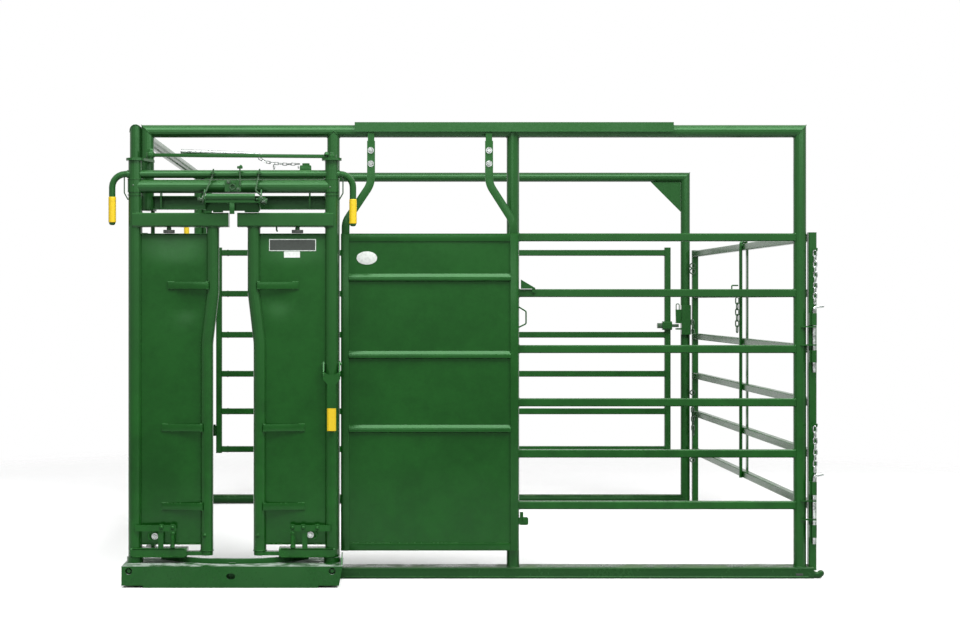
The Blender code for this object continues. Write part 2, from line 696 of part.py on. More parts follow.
def make_headgate_top_frame():
    """The fixed top of the head gate: capped stubs, cross tube, ties to the pen and latch lugs."""
    low = DOOR_POST_HIGH + GAP
    left, right = GATE_X - POST_OFFSET, GATE_X + POST_OFFSET
    shapes = []
    for x in (left, right):
        shapes.append(pipe((x, GATE_Y, low), (x, GATE_Y, CAP_Z + 0.001), GATE_PIPE_R))
        shapes.append(pipe((x, GATE_Y, low), (x, GATE_Y, SHAFT_Z - SHAFT_R - 0.0021), 0.0352))
        shapes.append(pipe((x, GATE_Y, low - JOURNAL_LENGTH), (x, GATE_Y, low + 0.01), JOURNAL_R, 16))
    cross = pipe((left, GATE_Y, CROSS_Z), (right, GATE_Y, CROSS_Z), GATE_PIPE_R)
    seat_r = GATE_PIPE_R + 0.0015
    seats = [pipe((x, GATE_Y, low - 0.05), (x, GATE_Y, low + 0.004), seat_r) for x in (left, right)]
    cross = cut(cross, *seats)
    cap_top = CAP_Z + CAP_THICK
    outline = link_pair_outline((left, GATE_Y), 0.0430, TIE_PIVOT, 0.020, 7)
    left_cap = plate(outline, CAP_Z, cap_top)
    pin_top = TIE_Z + TIE_BAR_HALF + 0.014
    pivot = pipe((*TIE_PIVOT, cap_top - 0.002), (*TIE_PIVOT, pin_top), TIE_PIN_R, ROD_SIDES)
    head = pipe((*TIE_PIVOT, pin_top - 0.012), (*TIE_PIVOT, pin_top), 0.0165, 6)
    right_cap = pipe((right, GATE_Y, CAP_Z), (right, GATE_Y, cap_top), 0.0470)
    tie_low, tie_high = CROSS_Z - 0.0184, CROSS_Z + 0.0316
    left_tie = box((left - 0.030, GATE_Y + 0.020, tie_low), (left - 0.010, SIDE_SHIFT, tie_high))
    left_tie = cut(left_tie, upright_cope(SIDE_X, SIDE_SHIFT, tie_low - TUBE, tie_high + TUBE))
    right_tie = box((right - 0.010, GATE_Y + 0.020, tie_low), (right + 0.010, 0.0, tie_high))
    right_tie = cut(right_tie, upright_cope(BAY_POST_X, 0, tie_low - TUBE, tie_high + TUBE))
    lugs = []
    for side in (-1, 1):
        inner = GATE_X + side * (LATCH_HALF + 0.0015)
        outer = inner + side * STRAP
        outline = link_pair_outline((GATE_Y, CROSS_Z), 0.020, (LATCH_Y, LATCH_Z), 0.014, 5)
        lugs.append(plate(outline, inner, outer, "X"))
        pin_in = GATE_X + side * (LATCH_HALF - 0.020)
        pin_out = outer + side * 0.010
        lugs.append(
            pipe((pin_in, LATCH_Y, LATCH_Z), (pin_out, LATCH_Y, LATCH_Z), LATCH_PIN_R, ROD_SIDES)
        )
        nut = (outer - side * 0.001, LATCH_Y, LATCH_Z), (outer + side * 0.013, LATCH_Y, LATCH_Z)
        lugs.append(pipe(*nut, 0.0120, 6))
    bracket = box(
        (GATE_X - 0.038, GATE_Y - GATE_PIPE_R - 0.006, CROSS_Z - 0.026),
        (GATE_X + 0.038, GATE_Y - GATE_PIPE_R + 0.012, CROSS_Z + 0.022),
    )
    pieces = (cross, left_cap, pivot, head, right_cap, left_tie, right_tie, bracket)
    frame = join(shapes[0], *shapes[1:], *pieces)
    bore = pipe(
        (left - 0.08, GATE_Y, SHAFT_Z), (right + 0.08, GATE_Y, SHAFT_Z), SHAFT_R + RUN, 16
    )
    named("headgate_top_frame", "green_paint", join(cut(frame, bore), *lugs))


def make_release_shaft():
    left, right = GATE_X - POST_OFFSET, GATE_X + POST_OFFSET
    handle_r = 0.0155
    handle_low = SHAFT_Z - 0.2211
    left_x, right_x = left - 0.1080, right + 0.0997
    grip_r = 0.0180
    shaft = pipe((left - 0.038, GATE_Y, SHAFT_Z), (right + 0.038, GATE_Y, SHAFT_Z), SHAFT_R)
    handles = []
    grips = (
        ("left", left_x, left, SHAFT_Z - 0.1069, handle_low - 0.0084),
        ("right", right_x, right, SHAFT_Z - 0.1181, handle_low - 0.0140),
    )
    for _, x, post, _, _ in grips:
        points = [(post, GATE_Y, SHAFT_Z), (x, GATE_Y, SHAFT_Z), (x, GATE_Y, handle_low)]
        handles.append(bar_along(rounded_path(points, 0.062, 6), handle_r, 4))
    eyes = []
    for x, _, _ in LIFT_RODS:
        eye_x = x + (LIFT_SLANT * (SHAFT_Z - ROD_TIP_Z))
        eye = box(
            (eye_x - 0.0115, LIFT_Y - 0.0195, SHAFT_Z - EYE_HALF),
            (eye_x + 0.0115, GATE_Y - SHAFT_R + 0.004, SHAFT_Z + EYE_HALF),
        )
        slot = box(
            (eye_x - 0.0062, LIFT_Y - 0.0135, SHAFT_Z - 0.01),
            (eye_x + 0.0062, LIFT_Y + 0.0060, SHAFT_Z + 0.01),
        )
        eyes.append(cut(eye, slot))
    pivot = (GATE_X, GATE_Y, SHAFT_Z)
    named("release_shaft", "green_paint", join(shaft, *handles, *eyes), pivot)
    for side, x, _, high, low in grips:
        grip = pipe((x, GATE_Y, low), (x, GATE_Y, high), grip_r, PIPE_SIDES)
        bore = pipe((x, GATE_Y, handle_low - GAP), (x, GATE_Y, high + 0.01), handle_r + GAP, 16)
        named(f"{side}_release_grip", "yellow_grip", cut(grip, bore), pivot)


def make_latch():
    """The latch over the ends of the door arms, and the two rods that lift it."""
    wall = 0.005
    low = ARM_HIGH + 0.0086
    left, right = GATE_X - LATCH_HALF, GATE_X + LATCH_HALF
    front, back = LATCH_Y - 0.0500, LATCH_Y + 0.0500
    top = LATCH_Z - 0.012
    lip_z = LATCH_Z + 0.0105
    outline = [
        (front, low),
        (front + wall, low),
        (front + wall, top - wall),
        (back - wall, top - wall),
        (back - wall, low + 0.012),
        (back, low + 0.012),
        (back, top),
        (front, top),
    ]
    shell = plate(outline, left, right, "X")
    ends = []
    for x in (left, right - wall):
        cheek = plate(
            [
                (front, low + 0.006),
                (back, low + 0.012),
                (back, top),
                (LATCH_Y + 0.013, LATCH_Z + 0.013),
                (front, LATCH_Z + 0.013),
            ],
            x,
            x + wall,
            "X",
        )
        hole = pipe(
            (x - 0.01, LATCH_Y, LATCH_Z), (x + 0.02, LATCH_Y, LATCH_Z), LATCH_PIN_R + RUN, ROD_SIDES
        )
        ends.append(cut(cheek, hole))
    lip_r = 0.0155
    lip = pipe(
        (left + 0.0065, front + 0.008, lip_z), (right - 0.022, front + 0.008, lip_z), lip_r, 16
    )
    riser = box(
        (left + 0.008, front, top - 0.002), (right - 0.024, front + wall, lip_z)
    )
    pads = [
        box((low_x, front + 0.020, ARM_HIGH + 0.002), (high_x, front + 0.060, top - 0.001))
        for low_x, high_x in ((left + 0.0346, left + 0.0816), (right - 0.0734, right - 0.0064))
    ]
    finger_low = (GATE_X - 0.0124, front + 0.001, ARM_HIGH - 0.0080)
    finger = box(finger_low, (GATE_X + 0.0106, front + 0.010, low + 0.010))
    bosses = [
        pipe((x - side * 0.002, BOSS_Y, LATCH_Z), (x + side * 0.0140, BOSS_Y, LATCH_Z), 0.0035, 8)
        for x, side in ((left, -1), (right, 1))
    ]
    latch = join(shell, *ends, riser, lip, *pads, finger, *bosses)
    named("latch_box", "green_paint", latch, (GATE_X, LATCH_Y, LATCH_Z))
    for name, (tip_x, near_x, side) in zip(("left_lift_rod", "right_lift_rod"), LIFT_RODS):
        ring_x = GATE_X + side * (LATCH_HALF + 0.0069)
        points = [
            (tip_x, LIFT_Y, ROD_TIP_Z),
            (tip_x - LIFT_SLANT * (ROD_TIP_Z - ROD_KNEE_Z), LIFT_Y, ROD_KNEE_Z),
            (near_x, BOSS_Y + 0.001, LATCH_Z + 0.0390),
            (ring_x, BOSS_Y, LATCH_Z + RING_R),
        ]
        rod = bar_along(rounded_path(points, 0.006, 2), LIFT_ROD_R, 1)
        head_x = tip_x + LIFT_SLANT * (SHAFT_Z - ROD_TIP_Z)
        head_low = SHAFT_Z + EYE_HALF + GAP
        head = pipe((head_x, LIFT_Y, head_low), (head_x, LIFT_Y, head_low + 0.0040), 0.0085, 10)
        turns = [math.radians(36 * i) for i in range(10)]
        ring = bar_along(
            [(ring_x, BOSS_Y + RING_R * math.sin(a), LATCH_Z + RING_R * math.cos(a)) for a in turns],
            0.0035,
            1,
            closed=True,
        )
        named(name, "zinc", join(rod, head, ring))


def door_x(side, offset):
    return GATE_X + side * offset


def neck_pipe_path(side):
    top, foot = door_x(side, PIPE_TOP_OFFSET), door_x(side, PIPE_FOOT_OFFSET)
    (high_bend, radius), (low_bend, _) = PIPE_BEND
    points = [
        (top, GATE_Y, ARM_LOW - GAP),
        (top, GATE_Y, high_bend),
        (foot, GATE_Y, low_bend),
        (foot, GATE_Y, NECK_PIPE_LOW),
    ]
    return rounded_path(points, radius, 4)


def make_door(name, side):
    pivot = (door_x(side, POST_OFFSET), GATE_Y, 0.0)
    post_x = pivot[0]
    make_door_post(name, side, post_x, pivot)
    make_door_arm(name, side, post_x, pivot)
    make_door_sheet(name, side, pivot)
    neck = bar_along(neck_pipe_path(side), PIPE_R, 6)
    named(f"{name}_door_pipe", "green_paint", neck, pivot)
    make_door_foot(name, side, post_x, pivot)
    x, y = door_x(side, BUMPER_OFFSET), GATE_Y - 0.012
    stem = pipe((x, y, ARM_LOW - GAP), (x, y, ARM_LOW - 0.0223), 0.010, 12)
    knob = pipe((x, y, ARM_LOW - 0.0138), (x, y, ARM_LOW - 0.0283), 0.0270, 16)
    named(f"{name}_door_bumper", "black_rubber", join(stem, knob), pivot)


def make_door_post(name, side, x, pivot):
    post = pipe((x, GATE_Y, DOOR_POST_LOW), (x, GATE_Y, DOOR_POST_HIGH), GATE_PIPE_R)
    bores = [
        pipe((x, GATE_Y, low), (x, GATE_Y, high), JOURNAL_R + RUN, 16)
        for low, high in (
            (DOOR_POST_LOW - 0.01, DOOR_POST_LOW + JOURNAL_LENGTH + 0.002),
            (DOOR_POST_HIGH - JOURNAL_LENGTH - 0.002, DOOR_POST_HIGH + 0.01),
        )
    ]
    named(f"{name}_door_post", "green_paint", cut(post, *bores), pivot)


def post_cutter(x, low, high):
    return pipe((x, GATE_Y, low), (x, GATE_Y, high), GATE_PIPE_R + GAP)


def make_door_arm(name, side, post_x, pivot):
    outer, inner = post_x - side * -0.009, door_x(side, ARM_INNER)
    low, high = sorted((outer, inner))
    arm = box(
        (low, GATE_Y - ARM_DEPTH / 2, ARM_LOW), (high, GATE_Y + ARM_DEPTH / 2, ARM_HIGH), 0.006, 0
    )
    arm = cut(arm, post_cutter(post_x, ARM_LOW - 0.1, ARM_HIGH + 0.1))
    named(f"{name}_door_arm", "green_paint", arm, pivot)


def make_door_sheet(name, side, pivot):
    """The sheet between the door post and the neck pipe, with folded lips and three gussets."""
    edge_in = PIPE_R + 0.0008
    post_edge = door_x(side, POST_OFFSET - GATE_PIPE_R - GAP)
    path = [p for p in neck_pipe_path(side) if DOOR_SHEET_LOW < p.z < DOOR_SHEET_HIGH]
    inner = [(p.x + side * edge_in, p.z) for p in path]
    top = (door_x(side, PIPE_TOP_OFFSET + edge_in), DOOR_SHEET_HIGH)
    foot = (door_x(side, PIPE_FOOT_OFFSET + edge_in), DOOR_SHEET_LOW)
    outline = [(post_edge, DOOR_SHEET_HIGH), top, *inner, foot, (post_edge, DOOR_SHEET_LOW)]
    sheet = plate(outline, GATE_Y - SHEET / 2, GATE_Y + SHEET / 2, "Y")
    lips = []
    for z, reach in ((DOOR_SHEET_HIGH, top[0]), (DOOR_SHEET_LOW + SHEET, foot[0])):
        low, high = sorted((post_edge, reach))
        lips.append(box((low, GATE_Y - 0.020, z - SHEET), (high, GATE_Y, z)))
    lips = [cut(lip, post_cutter(pivot[0], 0, 2)) for lip in lips]
    gussets = []
    for z in DOOR_GUSSET_Z:
        pipe_offset = PIPE_TOP_OFFSET if z > 1.2 else PIPE_FOOT_OFFSET
        near = pipe_offset + PIPE_R + 0.004
        far = near + 0.190
        plan = [
            (door_x(side, near - 0.002), GATE_Y),
            (door_x(side, near - 0.002), GATE_Y - 0.034),
            (door_x(side, near + 0.030), GATE_Y - 0.030),
            (door_x(side, far), GATE_Y - 0.006),
            (door_x(side, far), GATE_Y),
        ]
        gussets.append(plate(plan, z - STRAP / 2, z + STRAP / 2))
    sheet = join(sheet, *lips, *gussets)
    if side == 1:
        notch_low, notch_high = FORK_PIN_Z - 0.032, FORK_PIN_Z + 0.022
        sheet = cut(
            sheet,
            box(
                (post_edge - 0.022, GATE_Y - 0.01, notch_low),
                (post_edge + 0.01, GATE_Y + 0.01, notch_high),
            ),
        )
    named(f"{name}_door_sheet", "green_paint", sheet, pivot)


def make_door_foot(name, side, post_x, pivot):
    """The door's lower carrier: a channel round the post, a bar under the neck pipe, two braces."""
    near, far = door_x(side, 0.4781), door_x(side, 0.2149)
    low, high = 0.1275, 0.1690
    channel = box((near, GATE_Y - 0.040, low), (far, GATE_Y + 0.040, high), 0.005, 0)
    foot_x = door_x(side, PIPE_FOOT_OFFSET)
    bar_top = NECK_PIPE_LOW - GAP
    bar = box((door_x(side, 0.2200), GATE_Y - 0.019, 0.1340), (foot_x, GATE_Y + 0.019, bar_top - 0.004))
    disc = pipe((foot_x, GATE_Y, 0.1340), (foot_x, GATE_Y, bar_top), 0.0290)
    front = GATE_Y - GATE_PIPE_R - 0.0035
    strap_in = door_x(side, 0.4571)
    strap_out = door_x(side, 0.2650)
    cross = box((strap_in, front - STRAP, 0.2495), (strap_out, front, 0.2785))
    braces = []
    for centre, width in ((0.3368, 0.0250), (0.2822, 0.0215)):
        x = door_x(side, centre)
        braces.append(
            box((x - width / 2, front - 0.001, high - 0.006), (x + width / 2, front + 0.0055, 0.2680))
        )
    foot = join(channel, bar, disc, cross, *braces)
    foot = cut(foot, post_cutter(post_x, 0.1, 0.3))
    named(f"{name}_door_foot", "green_paint", foot, pivot)


def make_tie_bar():
    """The bar over the head gate that swings on its pin, with a lock pin and chain laid on it."""
    right = (GATE_X + POST_OFFSET, GATE_Y)
    run = Vector((right[0] - TIE_PIVOT[0], right[1] - TIE_PIVOT[1]))
    heading = math.atan2(run.y, run.x)
    length = run.length
    width = 0.0150
    low, high = CAP_Z + CAP_THICK + GAP, CAP_Z + CAP_THICK + GAP + 2 * TIE_BAR_HALF
    bar = box((0.0, -width / 2, low), (length, width / 2, high))
    eye = pipe((0, 0, low), (0, 0, high), 0.0200, 16)
    tail = pipe((length, 0, low), (length, 0, high), 0.0200, 16)
    stud = pipe((length, 0, high - 0.001), (length, 0, high + 0.018), 0.0075, ROD_SIDES)
    bar = join(bar, eye, tail, stud)
    bar = cut(bar, pipe((0, 0, low - 0.01), (0, 0, high + 0.01), TIE_PIN_R + RUN, ROD_SIDES))
    place = Matrix.Translation((*TIE_PIVOT, 0.0)) @ Matrix.Rotation(heading, 4, "Z")
    bar.data.transform(place)
    named("tie_bar", "green_paint", bar, (*TIE_PIVOT, TIE_Z))
    rest_z = high + GAP
    rod_r = 0.0085
    start, end = place @ Vector((0.150, 0.0, 0.0)), place @ Vector((0.530, 0.0, 0.0))
    rod = bar_along(
        [
            (start.x, start.y, rest_z + rod_r),
            (start.x * 0.15 + end.x * 0.85, start.y * 0.15 + end.y * 0.85, rest_z + rod_r),
        ],
        rod_r,
        2,
    )
    tip = pipe(
        (start.x * 0.16 + end.x * 0.84, start.y * 0.16 + end.y * 0.84, rest_z + rod_r * 0.7),
        (end.x, end.y, rest_z + rod_r * 0.7),
        rod_r * 0.6,
        ROD_SIDES,
    )
    named("lock_pin", "zinc", join(rod, tip), (*TIE_PIVOT, TIE_Z))


def chain(points, pitch, wire):
    """Chain links along a polyline, each turned a quarter from the last and just biting the next."""
    path = [Vector(p) for p in points]
    lengths = [(b - a).length for a, b in zip(path, path[1:])]
    count = max(2, round(sum(lengths) / pitch))
    links = []
    for number in range(count):
        middle = along_path(path, lengths, (number + 0.5) / count)
        before = along_path(path, lengths, number / count)
        after = along_path(path, lengths, (number + 1) / count)
        heading = (after - before).normalized()
        half = (after - before).length / 2 + wire * 0.86
        width = wire * 2.1
        loop = []
        for end in (1, -1):
            for angle in (-60, 0, 60):
                a = math.radians(angle)
                loop.append(
                    (end * width * math.sin(a), 0.0, end * (half - width + width * math.cos(a)))
                )
        turn = heading.to_track_quat("Z", "Y").to_matrix().to_4x4()
        spin = Matrix.Rotation(math.radians(90 * (number % 2) + 45), 4, "Z")
        place = Matrix.Translation(middle) @ turn @ spin
        links.append(bar_along([place @ Vector(p) for p in loop], wire, 0, closed=True))
    return links


def along_path(path, lengths, share):
    """The point at a share of a polyline's length."""
    left = share * sum(lengths)
    for a, b, length in zip(path, path[1:], lengths):
        if left <= length or b is path[-1]:
            return a.lerp(b, left / length)
        left -= length
    return path[-1]


# Sliding door


def make_sliding_door():
    mid_y = (DOOR_FRONT + DOOR_BACK) / 2
    face = DOOR_FRONT + 0.010
    shapes = [
        box(
            (DOOR_LEFT + 0.01, face, DOOR_LOW + 0.01),
            (DOOR_RIGHT - 0.01, face + SHEET, DOOR_HIGH - 0.01),
        )
    ]
    for x in (DOOR_LEFT, DOOR_RIGHT - DOOR_STILE):
        shapes.append(
            box((x, DOOR_FRONT, DOOR_LOW), (x + DOOR_STILE, DOOR_BACK, DOOR_HIGH), 0.005, 2)
        )
    inner_left, inner_right = DOOR_LEFT + DOOR_STILE - 0.004, DOOR_RIGHT - DOOR_STILE + 0.004
    for z in (DOOR_LOW + TUBE / 2, DOOR_HIGH - TUBE / 2):
        shapes.append(
            box(
                (inner_left, DOOR_FRONT + 0.003, z - TUBE / 2),
                (inner_right, DOOR_BACK - 0.003, z + TUBE / 2),
                0.005,
                0,
            )
        )
    for z in DOOR_RIB_Z:
        rib = plate(
            [
                (face + 0.001, z - 0.020),
                (face + 0.001, z + 0.020),
                (DOOR_FRONT + 0.002, z + 0.010),
                (DOOR_FRONT - 0.003, z - 0.002),
                (DOOR_FRONT - 0.001, z - 0.012),
            ],
            inner_left,
            inner_right,
            "X",
        )
        shapes.append(rib)
    pull = rounded_path(
        [
            (DOOR_RIGHT - 0.006, mid_y, 1.3000),
            (DOOR_RIGHT + 0.004, mid_y, 1.2960),
            (DOOR_RIGHT + 0.0370, mid_y, 1.2760),
            (DOOR_RIGHT + 0.0370, mid_y, 1.2170),
            (DOOR_RIGHT + 0.004, mid_y, 1.2010),
            (DOOR_RIGHT - 0.006, mid_y, 1.1960),
        ],
        0.010,
        3,
    )
    shapes.append(bar_along(pull, 0.0036, 1))
    door = join(shapes[0], *shapes[1:])
    named("sliding_door_panel", "green_paint", door)


def make_door_hanger(name, top_x, foot_x):
    """A hook over the header, its roller behind, and the strap down to the door's stile."""
    hook_front = TRACK_FRONT + TRACK_WALL + RUN * 2.5
    hook_low = HEADER_Z + PIPE_R + 2 * GAP
    hook_high = hook_low + SADDLE_THICK
    hook_back = PIPE_R + 0.0085
    strap_back = TRACK_FRONT
    strap_front = strap_back - HANGER_THICK
    low = STRAP_TOP - 0.135
    outline = [
        (strap_back - 0.0005, low),
        (strap_back - 0.0005, STRAP_TOP + 0.003),
        (hook_front, STRAP_TOP + 0.0215),
        (hook_front, hook_high),
        (hook_back, hook_high),
        (hook_back, ROLLER_Z - 0.010),
        (hook_back - 0.004, ROLLER_Z - 0.010),
        (hook_back - 0.004, hook_low),
        (hook_front + 0.0055, hook_low),
        (hook_front + 0.0055, STRAP_TOP + 0.0200),
        (strap_back + 0.0055, STRAP_TOP + 0.0015),
        (strap_back + 0.0055, low),
    ]
    hook = plate(outline, top_x - HOOK_WIDTH / 2, top_x + HOOK_WIDTH / 2, "X")
    centre = rounded_path(
        [
            (top_x, 0, STRAP_TOP),
            (top_x, 0, STRAP_BEND_Z),
            (foot_x, 0, STRAP_FOOT_Z),
            (foot_x, 0, DOOR_HIGH + GAP),
        ],
        0.080,
        4,
    )
    left, right = [], []
    for before, point, after in zip([centre[0], *centre], centre, [*centre[1:], centre[-1]]):
        ahead = after - before
        side = Vector((ahead.z, 0, -ahead.x)).normalized() * HANGER_WIDTH / 2
        left.append((point.x - side.x, point.z - side.z))
        right.append((point.x + side.x, point.z + side.z))
    strap = plate(left + right[::-1], strap_front, strap_back, "Y")
    axle = pipe(
        (top_x, hook_back - 0.002, ROLLER_Z), (top_x, ROLLER_Y + 0.008, ROLLER_Z), 0.006, ROD_SIDES
    )
    roller = pipe(
        (top_x, ROLLER_Y - 0.012, ROLLER_Z), (top_x, ROLLER_Y + 0.018, ROLLER_Z), ROLLER_R, 16
    )
    named(name, "green_paint", join(strap, hook, axle, roller))


def make_door_gravity_latch():
    """The ramp latch on the second rail that holds the closed door."""
    low = RAIL_Z[1] + TUBE / 2 + 0.002
    outline = [(0.2490, low), (0.3170, low), (0.3170, low + 0.004), (0.2490, low + 0.044)]
    ramp = plate(outline, -0.0300, -0.0220, "Y")
    pivot = (0.3100, -0.0260, low - 0.012)
    ear = box((0.3030, -0.0280, low - 0.020), (0.3180, -0.0225, low + 0.002))
    pin_back = -TUBE / 2 - GAP
    pin = pipe((pivot[0], -0.0300, pivot[2]), (pivot[0], pin_back, pivot[2]), 0.005, ROD_SIDES)
    named("door_gravity_latch", "green_paint", join(ramp, ear, pin), pivot)


# Gates


def gate(front, rear, top, feet, rails, x):
    """Two end tubes and the rails between them, one behind the other."""
    ends = [tube((x, y, foot), (x, y, top)) for y, foot in zip((front, rear), feet)]
    cross = [tube((x, front, z), (x, rear, z)) for z in rails]
    return [*ends, *cross]


def make_rear_gate():
    """The rear gate: its rails with the latch end, the hinge end, and the slam bolt in its housing."""
    rails = [z + REAR_RAIL_LIFT for z in RAIL_Z]
    foot = rails[-1] - TUBE / 2 - 0.006
    rail_start = REAR_GATE_LEFT + TUBE / 2 + GAP
    latch_end = tube((REAR_GATE_RIGHT, DEPTH, foot), (REAR_GATE_RIGHT, DEPTH, REAR_GATE_TOP))
    cross = [tube((rail_start, DEPTH, z), (REAR_GATE_RIGHT, DEPTH, z)) for z in rails]
    pivot = (REAR_HINGE[0], DEPTH + REAR_HINGE[1], 0.0)
    named("rear_gate", "green_paint", join(latch_end, *cross), pivot)
    pieces = [tube((REAR_GATE_LEFT, DEPTH, foot), (REAR_GATE_LEFT, DEPTH, REAR_GATE_TOP))]
    cuts = []
    x, y = pivot[:2]
    for z in REAR_HINGE_Z:
        low, high = z - 0.034 + GAP, z + 0.026
        pieces.append(pipe((x, y, low), (x, y, high), SLEEVE_R, 12))
        web_low = (x, DEPTH + TUBE / 2 - 0.002, low + 0.004)
        pieces.append(box(web_low, (x + 0.036, y + 0.008, high - 0.004)))
        cuts.append(pipe((x, y, low - 0.02), (x, y, high + 0.02), PIN_R + RUN, ROD_SIDES))
    bolt_z = REAR_BOLT_Z
    hinge_end = cut(join(pieces[0], *pieces[1:]), *cuts)
    named("rear_gate_hinge_end", "green_paint", hinge_end, pivot)
    edge = REAR_GATE_RIGHT
    face_y = DEPTH - TUBE / 2
    bolt_y = face_y - BOLT_STANDOFF
    inward, outward, half_height = BOLT_HOUSING
    housing_low = (edge - inward, bolt_y - outward, bolt_z - half_height)
    housing_high = (edge + outward, face_y - GAP, bolt_z + half_height)
    bore_ends = (edge - 0.1, bolt_y, bolt_z), (edge + 0.1, bolt_y, bolt_z)
    housing = cut(box(housing_low, housing_high, 0.010, 0), pipe(*bore_ends, REAR_BOLT_R + RUN, 12))
    named("rear_bolt_housing", "green_paint", housing)
    bar_start, bar_end = (edge - 0.066, bolt_y, bolt_z), (REAR_BOLT_TIP, bolt_y, bolt_z)
    knob_ends = (edge - 0.072, bolt_y, bolt_z), (edge - inward - 0.0005, bolt_y, bolt_z)
    bar = pipe(bar_start, bar_end, REAR_BOLT_R, ROD_SIDES)
    named("rear_slam_bolt", "zinc", join(bar, pipe(*knob_ends, REAR_KNOB_R, ROD_SIDES)))
    make_rear_latch_keeper(bolt_y)


def make_rear_latch_keeper(y):
    """The strike on the rear right post, with a wire loop on it."""
    z = REAR_BOLT_Z
    left = REAR_BOLT_TIP - 0.0180
    edge = RIGHT_X - PIPE_R + 0.004
    outline = [
        (left, z + 0.020),
        (edge, z + 0.020),
        (edge, z + 0.105),
        (left - 0.002, z + 0.105),
    ]
    web = plate(outline, y - 0.006, y + 0.006, "Y")
    lower = box((left, y - 0.020, z - 0.026), (edge, y + 0.020, z - 0.016))
    upper = box((left, y - 0.020, z + 0.0155), (edge, y + 0.020, z + 0.0255))
    body = box((edge - 0.006, y - 0.022, z - 0.058), (RIGHT_X + 0.028, DEPTH, z + 0.134), 0.006, 2)
    x = left + 0.002
    points = [
        (x, y, z + 0.100),
        (x, y, z + 0.142),
        (x + 0.020, y, z + 0.142),
        (x + 0.020, y, z + 0.100),
    ]
    loop = bar_along(rounded_path(points, 0.008, 3), 0.003, 1)
    keeper = join(body, web, lower, upper, loop)
    keeper = cut(keeper, upright_cope(RIGHT_X, DEPTH, z - 0.2, z + 0.3))
    named("rear_latch_keeper", "green_paint", keeper)


def side_rail_clearances(heights):
    """The cutters that keep a piece just clear of the side gate's outer rails."""
    width = TUBE + 2 * GAP
    ends = [((SIDE_GATE_X, 0, z), (SIDE_GATE_X, SIDE_GATE_REAR, z)) for z in heights]
    return [tube(start, end, width, width) for start, end in ends]


def make_side_gate():
    """The side gate: its outer frame, and the middle rails that a stay and a rod hold together."""
    feet = (FRONT_FOOT, REAR_FOOT)
    outer_rails = (RAIL_Z[0], RAIL_Z[-1])
    pieces = gate(0.0, SIDE_GATE_REAR, SIDE_GATE_TOP, feet, outer_rails, SIDE_GATE_X)
    pivot = (*SIDE_PIN, 0.0)
    cuts = []
    x, y = SIDE_PIN
    for high, low in SIDE_SLEEVES:
        pieces.append(pipe((x, y, low), (x, y, high), SLEEVE_R, 12))
        web_low = (SIDE_GATE_X - TUBE / 2, y + 0.004, low)
        pieces.append(box(web_low, (x, -TUBE / 2 + 0.002, high)))
        cuts.append(pipe((x, y, low - 0.02), (x, y, high + 0.02), PIN_R + RUN, ROD_SIDES))
    frame = cut(join(pieces[0], *pieces[1:]), *cuts)
    hooks = []
    for z in CHAIN_TOPS:
        points = [
            (CHAIN_X, -TUBE / 2 + 0.003, z),
            (CHAIN_X, CHAIN_Y - 0.006, z),
            (CHAIN_X, CHAIN_Y - 0.006, z + 0.014),
        ]
        hooks.append(bar_along(rounded_path(points, 0.006, 2), 0.0045, 1))
    named("side_gate", "green_paint", join(frame, *hooks), pivot)
    start, end = TUBE / 2 + GAP, SIDE_GATE_REAR - TUBE / 2 - GAP
    rails = [tube((SIDE_GATE_X, start, z), (SIDE_GATE_X, end, z)) for z in RAIL_Z[1:-1]]
    stay_y = SIDE_GATE_REAR / 2 + 0.03
    outer = SIDE_GATE_X + TUBE / 2
    stay_low = (outer - 0.001, stay_y - STAY_WIDTH / 2, RAIL_Z[-1] - TUBE / 2)
    stay = box(stay_low, (outer + STRAP, stay_y + STAY_WIDTH / 2, RAIL_Z[0] + TUBE / 2))
    inner = SIDE_GATE_X - TUBE / 2 - 0.0082
    hook_y = stay_y - 0.060
    rod_top = RAIL_Z[0] + TUBE / 2 + 0.0103
    points = [
        (SIDE_GATE_X + 0.010, hook_y, rod_top),
        (inner, hook_y, rod_top),
        (inner, hook_y, RAIL_Z[-1] - TUBE / 2),
    ]
    rod = bar_along(rounded_path(points, 0.016, 3), 0.0100, 1)
    stay = cut(stay, *side_rail_clearances(outer_rails))
    rod = cut(rod, *side_rail_clearances(outer_rails))
    middle = join(rails[0], *rails[1:], stay, rod)
    named("side_gate_rails", "green_paint", middle, pivot)
    for name, top, foot in zip(("upper_pin_chain", "lower_pin_chain"), CHAIN_TOPS, CHAIN_FEET):
        ends = [(CHAIN_X, CHAIN_Y, top - 0.0092), (CHAIN_X + 0.004, CHAIN_Y, foot)]
        links = chain(ends, 0.0560, 0.0030)
        named(name, "zinc", join(links[0], *links[1:]), pivot)
    for name, (high, low) in (("upper_drop_pin", UPPER_PIN), ("lower_drop_pin", LOWER_PIN)):
        path = rounded_path(
            [(*SIDE_PIN, low), (*SIDE_PIN, high), (SIDE_PIN[0] + 0.046, SIDE_PIN[1], high + 0.006)],
            0.014,
            4,
        )
        named(name, "zinc", bar_along(path, PIN_R, 3), (*SIDE_PIN, high))


